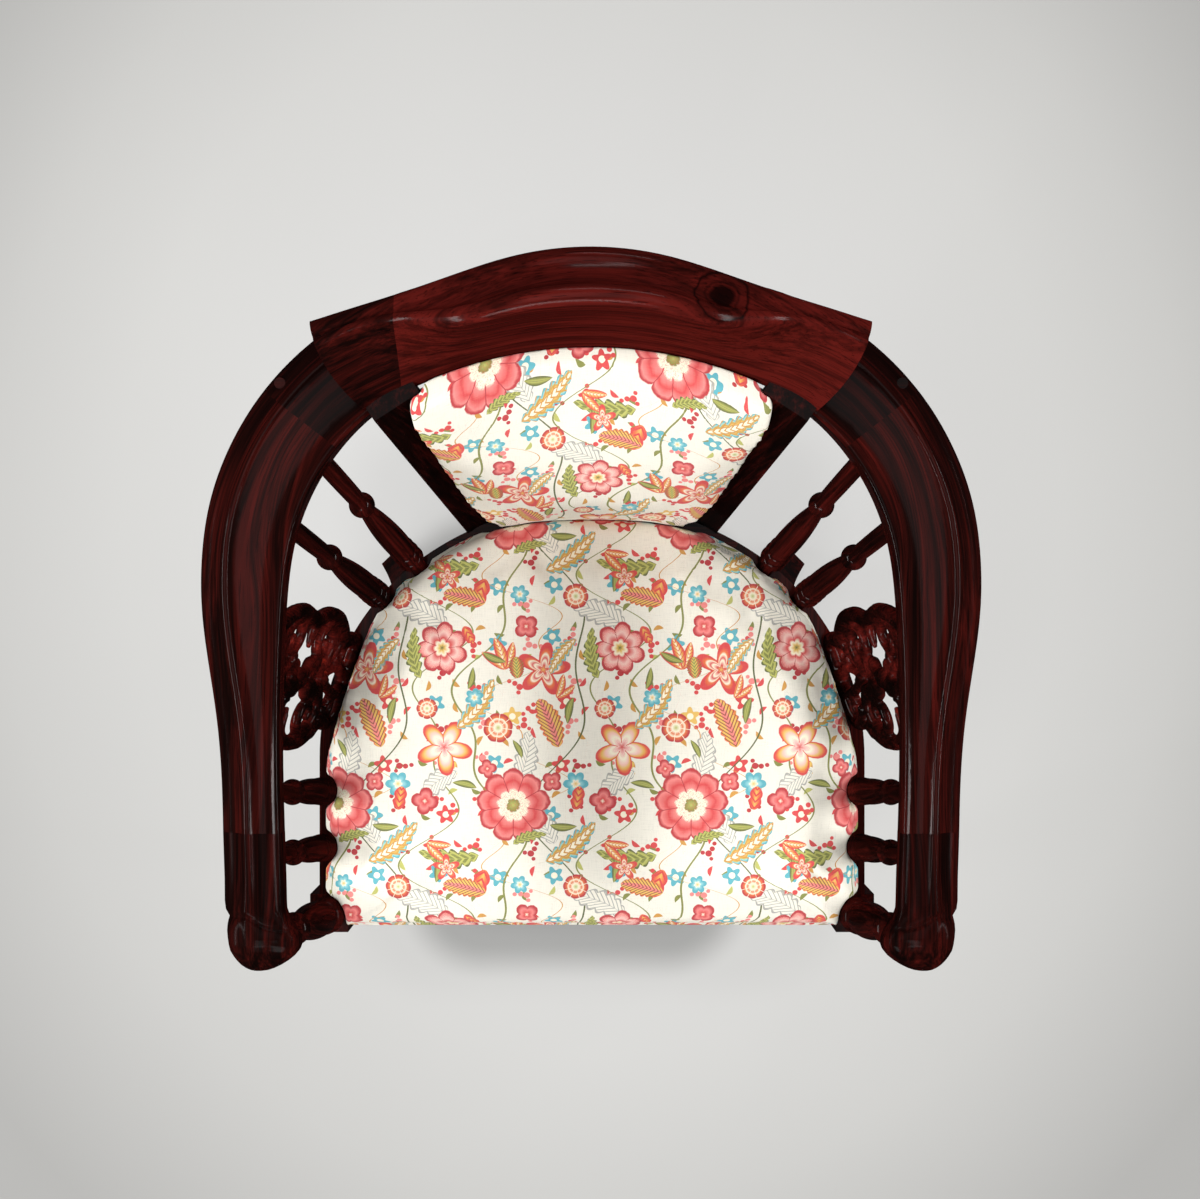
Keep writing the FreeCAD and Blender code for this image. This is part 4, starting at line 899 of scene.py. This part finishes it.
def remesh(piece, voxel):
    """Rebuilds the skin of a closed form in even squares."""
    modify(piece, "REMESH", mode="VOXEL", voxel_size=voxel)


def relax(piece, times):
    """Smooths the points of a mesh a little."""
    modify(piece, "SMOOTH", iterations=times, factor=0.5)


def swell(piece, voxel, pressure, cap, pinned):
    """Cloth under pressure: the skin is blown up and settled, held where pinned, and no point goes far."""
    remesh(piece, voxel)
    relax(piece, 6)
    rest = points_of(piece)
    group = piece.vertex_groups.new(name="held")
    group.add([int(i) for i in np.nonzero(pinned(rest))[0]], 1.0, "REPLACE")
    cloth = piece.modifiers.new("cloth", "CLOTH")
    settings = cloth.settings
    settings.quality = 5
    settings.mass = 0.3
    settings.tension_stiffness = 18
    settings.compression_stiffness = 18
    settings.bending_stiffness = 0.6
    settings.use_pressure = True
    settings.uniform_pressure_force = pressure
    settings.vertex_group_mass = "held"
    settings.effector_weights.gravity = 0
    scene = bpy.context.scene
    for step in range(1, cloth_steps + 1):
        scene.frame_set(step)
    moved = points_of(piece.evaluated_get(bpy.context.evaluated_depsgraph_get()))
    scene.frame_set(1)
    piece.modifiers.clear()
    piece.vertex_groups.clear()
    way = moved - rest
    way *= np.minimum(1.0, cap / np.maximum(lengths(way), 1e-9))
    set_points(piece, rest + way)
    return rest + way


# Seat cushion
def post_axes():
    """Foot, head and radius of every turned post that stands at the cushion's edge."""
    posts = []
    for name in nodes:
        if name.startswith(("spindle", "front_baluster")):
            points = points_of(nodes[name])
            low = points[points[:, 2] < points[:, 2].min() + 0.002].mean(0)
            high = points[points[:, 2] > points[:, 2].max() - 0.002].mean(0)
            posts.append((low, high, baluster_radius if "baluster" in name else spindle_radius))
    return posts


def clear_of_post(points, low, high, radius):
    """Pushes points that would touch a post away from it, towards the middle of the seat."""
    share = (points[:, 2:3] - low[2]) / (high[2] - low[2])
    axis = low + (high - low) * share
    away = points[:, :2] - axis[:, :2]
    inward = seat_middle - axis[:, :2]
    inward /= lengths(inward)
    near = lengths(away) < radius
    along = (away * inward).sum(1, keepdims=True)
    side = away - inward * along
    reach = np.sqrt(np.maximum(radius ** 2 - (side ** 2).sum(1, keepdims=True), 0.0))
    target = axis[:, :2] + side + inward * reach
    result = points.copy()
    result[:, :2] = np.where(near, target, points[:, :2])
    return result


def pad_at(z):
    """The pad at a height: its share of the rise, its half width, its edges' place and its back's hollow."""
    rise = np.clip((z - pad_bottom) / (pad_top - pad_bottom), 0, 1)
    return [rise] + [foot + rise * (head - foot) for foot, head in (pad_half, pad_edge, pad_hollow)]


def pad_front(x, z):
    """How far forward the front of the back pad comes, at a place across and a height."""
    rise, half, edge, hollow = pad_at(z)
    bulge = np.interp(rise, pad_rises, pad_bulges)
    depth = pad_edge_depth * (bulge + 1) / 2
    side = depth + rise * pad_head_edge_extra + (1 - rise) * pad_foot_extra
    middle = edge + hollow - depth - rise * pad_head_middle_extra - bulge * pad_bulge
    bend = np.clip(1 - (x / half) ** 2, 0, 1)
    return (edge - side) + (middle - edge + side) * bend


def make_seat(cloth):
    """The seat cushion: fabric over foam, swollen, with hollows at the posts."""
    mesh = bmesh.new()
    mesh.from_mesh(nodes["seat_cover"].data)
    hull = bmesh.ops.convex_hull(mesh, input=mesh.verts)
    spare = [g for g in hull["geom_interior"] + hull["geom_unused"] if isinstance(g, bmesh.types.BMVert)]
    bmesh.ops.delete(mesh, geom=spare, context="VERTS")
    skin = set(g for g in hull["geom"] if isinstance(g, bmesh.types.BMFace))
    old = [f for f in mesh.faces if f not in skin]
    bmesh.ops.delete(mesh, geom=old, context="FACES_ONLY")
    data = bpy.data.meshes.new("seat_cushion")
    mesh.to_mesh(data)
    mesh.free()
    piece = new_object("seat_cushion", data)
    points = points_of(piece)
    points[:, 2] = rail_top_z + cloth_gap + (points[:, 2] - rail_top_z) * seat_start_height
    set_points(piece, points)
    points = swell(piece, seat_voxel, seat_pressure, seat_swell,
                   lambda rest: rest[:, 2] < rail_top_z + seat_held)
    top = np.clip((points[:, 2] - seat_crown_z + crease_fade[0]) / crease_fade[1], 0, 1)
    for foot, head, radius in post_axes():
        share = (seat_crown_z - foot[2]) / (head[2] - foot[2])
        place = (foot + (head - foot) * share)[:2]
        inward = seat_middle - place
        inward /= np.linalg.norm(inward)
        away = points[:, :2] - place
        along = away @ inward
        side = np.abs(away @ np.array([-inward[1], inward[0]]))
        crease = np.exp(-(side / crease_half_width) ** 2) * np.clip(1 - along / crease_reach, 0, 1)
        points[:, 2] -= crease_depth * crease * (along > -crease_behind) * top
    points = fill_box(points, "seat_cover")
    for foot, head, radius in post_axes():
        points = clear_of_post(points, foot, head, radius + post_clearance)
    points = clear_of_splats(points)
    near_pad = np.abs(points[:, 0]) < pad_half[0] + pad_side_room
    limit = pad_front(np.clip(points[:, 0], -pad_half[0], pad_half[0]), points[:, 2]) - pad_gap
    points[:, 1] = np.where(near_pad, np.minimum(points[:, 1], limit), points[:, 1])
    points[:, 2] = np.clip(points[:, 2], rail_top_z + seat_box_gap, None)
    set_points(piece, points)
    drop = np.clip(seat_edge_z - points[:, 2], 0, None)
    away = points[:, :2] - seat_middle
    away /= lengths(away)
    place = np.zeros_like(points)
    place[:, :2] = points[:, :2] + away * drop[:, None]
    store(piece, "print", place)
    modify(piece, "SUBSURF", keep=True, levels=1, render_levels=1)
    dress(piece, cloth)
    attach(piece, "root")
    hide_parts("seat_cover", "seat_foam")
    piece.visible_glossy = False


def fill_box(points, name):
    """Spreads a cushion in plan until it fills the box of its solid."""
    low, high = (np.array(v)[:2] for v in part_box(name))
    low, high = low + seat_box_gap, high - seat_box_gap
    result = points.copy()
    own_low, own_high = points[:, :2].min(0), points[:, :2].max(0)
    result[:, :2] = low + (points[:, :2] - own_low) / (own_high - own_low) * (high - low)
    return result


def splat_axes(side):
    """A splat's foot and its three directions: sideways, up to its head and outwards."""
    return [np.array(v) * (side, 1, 1) for v in (splat_foot, splat_sideways, splat_rise, splat_normal)]


def clear_of_splats(points):
    """Pushes points of the cushion out of the two carved splats."""
    result = points.copy()
    for side in (1, -1):
        foot, sideways, _, normal = splat_axes(side)
        away = result - foot
        depth = away @ normal
        within = np.abs(away @ sideways) < splat_width / 2 + 0.003
        limit = -(splat_thickness / 2 + post_clearance)
        push = np.where(within & (depth > limit), limit - depth, 0)
        level = normal * (1, 1, 0)
        result += push[:, None] * level / (level @ normal)
    return result


# Back pad
def make_pad(cloth):
    """The back pad: curved back, bulging front, round corners, swollen fabric."""
    rows = []
    across = np.linspace(-1, 1, pad_ring)
    for rise in np.linspace(0, 1, pad_levels):
        z = pad_bottom - pad_gap + rise * (pad_top - pad_bottom + pad_grow)
        half = pad_half[0] + rise * (pad_half[1] - pad_half[0])
        x = across * (half + (pad_grow - np.interp(rise, pad_rises, pad_insets) * pad_inset))
        level = np.full_like(x, z)
        front = np.stack([x, pad_front(x, z) - pad_gap, level], 1)
        back = np.stack([x, back_of_pad(x, level) + pad_grow, level], 1)[::-1]
        rows.append(np.vstack([front, back]))
    piece = mesh_object("back_pad", *tube_grid(rows))
    points = swell(piece, pad_voxel, pad_pressure, pad_swell,
                   lambda rest: rest[:, 1] > back_of_pad(rest[:, 0], rest[:, 2]) - pad_held)
    set_points(piece, within_back(points))
    relax(piece, 12)
    points = within_back(points_of(piece))
    set_points(piece, points)
    half = pad_at(points[:, 2])[1]
    place = np.zeros_like(points)
    behind = np.clip(points[:, 1] - pad_front(points[:, 0], points[:, 2]) - 0.004, 0, None)
    at_side = np.clip((np.abs(points[:, 0]) / half - 0.90) / 0.08, 0, 1)
    place[:, 0] = points[:, 0] * pad_print_scale[0] + np.sign(points[:, 0]) * behind * at_side
    place[:, 1] = (points[:, 2] - pad_bottom) * pad_print_scale[1] + behind * (1 - at_side)
    store(piece, "print", place + pad_print_shift)
    modify(piece, "SUBSURF", keep=True, levels=1, render_levels=1)
    dress(piece, cloth)
    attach(piece, "root")
    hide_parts("back_pad_cover", "back_pad_foam")
    piece.visible_glossy = False


def within_back(points):
    """Keeps the pad's points between the stiles, before the panel and the bow, and off the seat rail."""
    result = points.copy()
    half = pad_at(points[:, 2])[1] + pad_side_slack
    result[:, 0] = np.clip(points[:, 0], -half, half)
    result[:, 2] = np.clip(points[:, 2], pad_bottom + pad_gap, pad_top - pad_gap)
    result[:, 1] = np.minimum(points[:, 1], back_of_pad(result[:, 0], result[:, 2]) - pad_gap)
    return result


def back_of_pad(x, z):
    """How far back the pad may reach: the panel below, the stiles and the bow's inner face above."""
    half, edge, hollow = pad_at(z)[1:]
    panel = edge + hollow * np.clip(1 - (x / half) ** 2, 0, 1)
    bow = bow_face_y - bow_face_radius + np.sqrt(bow_face_radius ** 2 - x ** 2)
    start, climb, slope, level = stile_line
    far = start[0] + climb[0] * (z - level) - np.abs(x)
    stile = start[1] + climb[1] * (z - level) + slope * far
    free = np.abs(x) < stile_inner[0] + stile_inner[1] * (z - level) - 0.001
    above = np.minimum(bow, np.where(free, bow, stile))
    return np.where(z > panel_top_z, np.maximum(panel, above), panel)


# Carved splats
def side_word(side):
    """The name of the modelled side, 1, or of its mirror image, -1."""
    return "left" if side > 0 else "right"


def scroll(centre, radius, start, turns, way):
    """A spiral that winds in towards its centre."""
    points = []
    for share in np.linspace(0, 1, 26):
        turn = math.radians(start) + way * share * turns * 2 * math.pi
        size = radius * (1 - 0.80 * share)
        points.append((centre[0] + size * math.cos(turn), centre[1] + size * math.sin(turn)))
    return points


def spaced(points, count, endpoint=True):
    """Evenly spaced points along a run."""
    steps = np.concatenate([[0], np.cumsum(np.linalg.norm(np.diff(points, axis=0), axis=1))])
    where = np.linspace(0, steps[-1], count, endpoint=endpoint)
    return np.stack([np.interp(where, steps, points[:, k]) for k in range(points.shape[1])], 1)


def curve_through(points, count):
    """A smooth run through points (across, up, out)."""
    run = spaced(np.asarray(points, dtype=float), count)
    for _ in range(6):
        run[1:-1] = (run[:-2] + 2 * run[1:-1] + run[2:]) / 4
    return run


def strand(run, wide, deep, taper):
    """Rows of an elliptical strand along a run of (across, up, out), thinner towards its end."""
    rows = []
    count = len(run)
    for i, point in enumerate(run):
        way = run[min(i + 1, count - 1)] - run[max(i - 1, 0)]
        way = way / max(np.linalg.norm(way), 1e-9)
        side = np.array([-way[1], way[0], 0.0])
        side /= max(np.linalg.norm(side), 1e-9)
        size = 1 - taper * i / (count - 1)
        ring = [point + side * (wide * size * math.cos(t)) + np.array([0, 0, deep * size * math.sin(t)])
                for t in np.linspace(0, 2 * math.pi, 10, endpoint=False)]
        rows.append(ring)
    return rows


def on_splat(side, share, level, out=0.0):
    """A place on the splat, from its shares of the width and the height."""
    return (side * share * splat_width, level * splat_height, out)


def splat_rows():
    """All strands of one splat: wavy frame, scrolls, two crossing stems, leaves and a rosette."""
    strands = []
    for side in (-1, 1):
        edge = [on_splat(side, *spot) for spot in splat_frame_shares]
        strands.append(strand(curve_through(edge, 90), *frame_strand))
        for spot, radius, start, turns, way, wide in splat_scrolls:
            start = start if side > 0 else 180 - start
            run = scroll(on_splat(side, *spot), radius, start, turns, way * side)
            run = [(x, y, scroll_lift * side) for x, y in run]
            strands.append(strand(curve_through(run, 60), wide, scroll_depth, scroll_taper))
        stem = [on_splat(side, s, h, out * side * stem_lift) for s, h, out in splat_stem]
        strands.append(strand(curve_through(stem, 80), *stem_strand))
        for start, end in splat_leaves:
            a = np.array(on_splat(side, *start, leaf_lift))
            b = np.array(on_splat(side, *end, leaf_lift))
            middle = (a + b) / 2 + (leaf_bow * side, 0, leaf_lift)
            strands.append(strand(curve_through([a, middle, b], 14), *leaf_strand))
    for level, size in splat_bosses:
        ball = [(0.0, level * splat_height - size, 0.0), (0.0, level * splat_height + size, 0.0)]
        rows = strand(curve_through(ball, 12), size, boss_depth, 0.0)
        shape = np.sqrt(np.clip(1 - np.linspace(-1, 1, 12) ** 2, 0.02, 1))
        centre = np.array([np.mean(r, axis=0) for r in rows])
        strands.append([[c + (np.array(p) - c) * k for p in r] for r, c, k in zip(rows, centre, shape)])
    return strands


def make_splat(side):
    """One carved splat in place, between the seat rail and the arm."""
    points, faces = [], []
    for rows in splat_rows():
        grid, quads = tube_grid(rows)
        faces += [tuple(i + len(points) for i in quad) for quad in quads]
        points += list(grid)
    name = "splat_" + side_word(side)
    piece = mesh_object(name, points, faces)
    remesh(piece, splat_voxel)
    relax(piece, 3)
    local = points_of(piece)
    foot, sideways, rise, normal = splat_axes(side)
    length = np.linalg.norm(rise)
    up = rise / length
    local[:, 1] = np.clip(local[:, 1], 0.0, None)
    world = foot + local[:, :1] * sideways + local[:, 1:2] * up * (length / splat_height)
    world += local[:, 2:] * normal
    world[:, 2] = np.clip(world[:, 2], foot[2] + 0.0002, foot[2] + rise[2] - 0.0002)
    set_points(piece, world)
    store(piece, "grain", local)
    if side < 0:
        piece.data.flip_normals()
    # The splat's colour carries a painted highlight: lighter and redder on the walls of its piercings,
    # darker on its faces.
    dress(piece, rosewood(name, grain_stored, 90 + side, painted_glint_tone, 0.6, 0.14, stops=rosewood_and_glint_stops))
    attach(piece, "root")
    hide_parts("carved_splat_" + side_word(side))


# Hand-holds
def section_of(node, y):
    """The closed outline of a solid at one place along Y, as (x, z) points in order."""
    mesh = bmesh.new()
    mesh.from_mesh(nodes[node].data)
    bmesh.ops.remove_doubles(mesh, verts=mesh.verts, dist=weld)
    cut = bmesh.ops.bisect_plane(mesh, geom=mesh.verts[:] + mesh.edges[:] + mesh.faces[:],
                                 plane_co=(0, y, 0), plane_no=(0, 1, 0), clear_inner=True, clear_outer=True)
    edges = [g for g in cut["geom_cut"] if isinstance(g, bmesh.types.BMEdge)]
    links = {}
    for edge in edges:
        a, b = edge.verts
        links.setdefault(a, []).append(b)
        links.setdefault(b, []).append(a)
    start = min(links, key=lambda v: v.co.x)
    ring, last, here = [start], None, start
    while True:
        ahead = [v for v in links[here] if v is not last]
        if not ahead or ahead[0] is start:
            break
        last, here = here, ahead[0]
        ring.append(here)
        if len(ring) > len(links):
            break
    points = np.array([(v.co.x, v.co.z) for v in ring])
    mesh.free()
    return points


def even_ring(points, count):
    """A closed outline with evenly spaced points, starting at its lowest inner corner."""
    closed = np.vstack([points, points[:1]])
    area = np.sum(closed[:-1, 0] * closed[1:, 1] - closed[1:, 0] * closed[:-1, 1])
    if area < 0:
        closed = closed[::-1]
    ring = spaced(closed, count, endpoint=False)
    first = np.argmax(ring[:, 0] - 2 * ring[:, 1])
    return np.roll(ring, -first, axis=0)


def make_hand(side):
    """One carved hand-hold: the moulded arm, a notch, and a rounded fluted end."""
    node = "arm_front_left"
    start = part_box(node)[1][1]
    profile = even_ring(section_of(node, start - 0.004), hand_ring)
    x0, x1 = profile[:, 0].min(), profile[:, 0].max()
    across = (profile[:, 0] - x0) / (x1 - x0)
    up = (profile[:, 1] - arm_bottom) / arm_thickness
    middle = np.stack([across - 0.5, up - 0.5], 1)
    angle = np.arctan2(middle[:, 1], middle[:, 0])
    power = 2 / hand_squareness
    round_x, round_z = (0.5 + 0.5 * np.sign(c) * np.abs(c) ** power for c in (np.cos(angle), np.sin(angle)))
    rows = []
    station_y = [-station[0] for station in hand_stations]
    for y in np.interp(np.linspace(0, 1, hand_rows), hand_spacing[0], hand_spacing[1]):
        left, right, base, top, roundness = (
            np.interp(-y, station_y, [station[k] for station in hand_stations]) for k in range(1, 6))
        sx = across * (1 - roundness) + round_x * roundness
        sz = up * (1 - roundness) + round_z * roundness
        x = left + (right - left) * sx
        z = base + (top - base) * sz
        facing_up = np.clip((sz - 0.55) / 0.3, 0, 1)
        lean = (x - left) / (right - left)
        ogee = hand_ogee[0] + hand_ogee[1] * (0.5 - 0.5 * np.cos(math.pi * np.clip(lean * 1.15, 0, 1)))
        carve = np.exp(-((y - ogee) / hand_carve[0]) ** 2) * hand_carve[1]
        before_tip = np.clip((y - hand_flute_end) / 14, 0, 1)
        wave = lean * hand_flutes - (y - hand_flute_start) * hand_flute_slant
        flute = np.sin(wave * 2 * math.pi) * hand_flute_depth * before_tip
        flute = flute * np.clip((ogee - 3 - y) / 10, 0, 1)
        z = z - (carve - flute) * facing_up
        side_flute = np.cos(angle * hand_side_flutes) * hand_side_depth * np.clip((ogee - 5 - y) / 10, 0, 1)
        side_flute = side_flute * before_tip * (1 - facing_up)
        x = x + side_flute * np.sign(x - (left + right) / 2)
        rows.append(np.stack([x, np.full_like(x, y), z], 1) * MM)
    grid, faces = tube_grid(rows)
    grid = grid * (side, 1, 1)
    name = "hand_hold_" + side_word(side)
    if side < 0:
        faces = [tuple(reversed(f)) for f in faces]
    piece = mesh_object(name, grid, faces)
    piece.data.set_sharp_from_angle(angle=math.radians(55))
    dress(piece, rosewood(name, grain_of_bow, 13 if side > 0 else 21, -0.06, 1.0, 0.04, 0.22))
    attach(piece, "root")
    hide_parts("arm_front_" + side_word(side))


make_camera()
make_studio()
dress_solids()
kinds = motifs()
linen_print = printed_linen("printed_linen", print_stored, kinds)
dress(nodes["back_outer_panel"], printed_linen("outer_linen", print_upright, kinds))
make_seat(linen_print)
make_pad(linen_print)
for side in (1, -1):
    make_splat(side)
    make_hand(side)
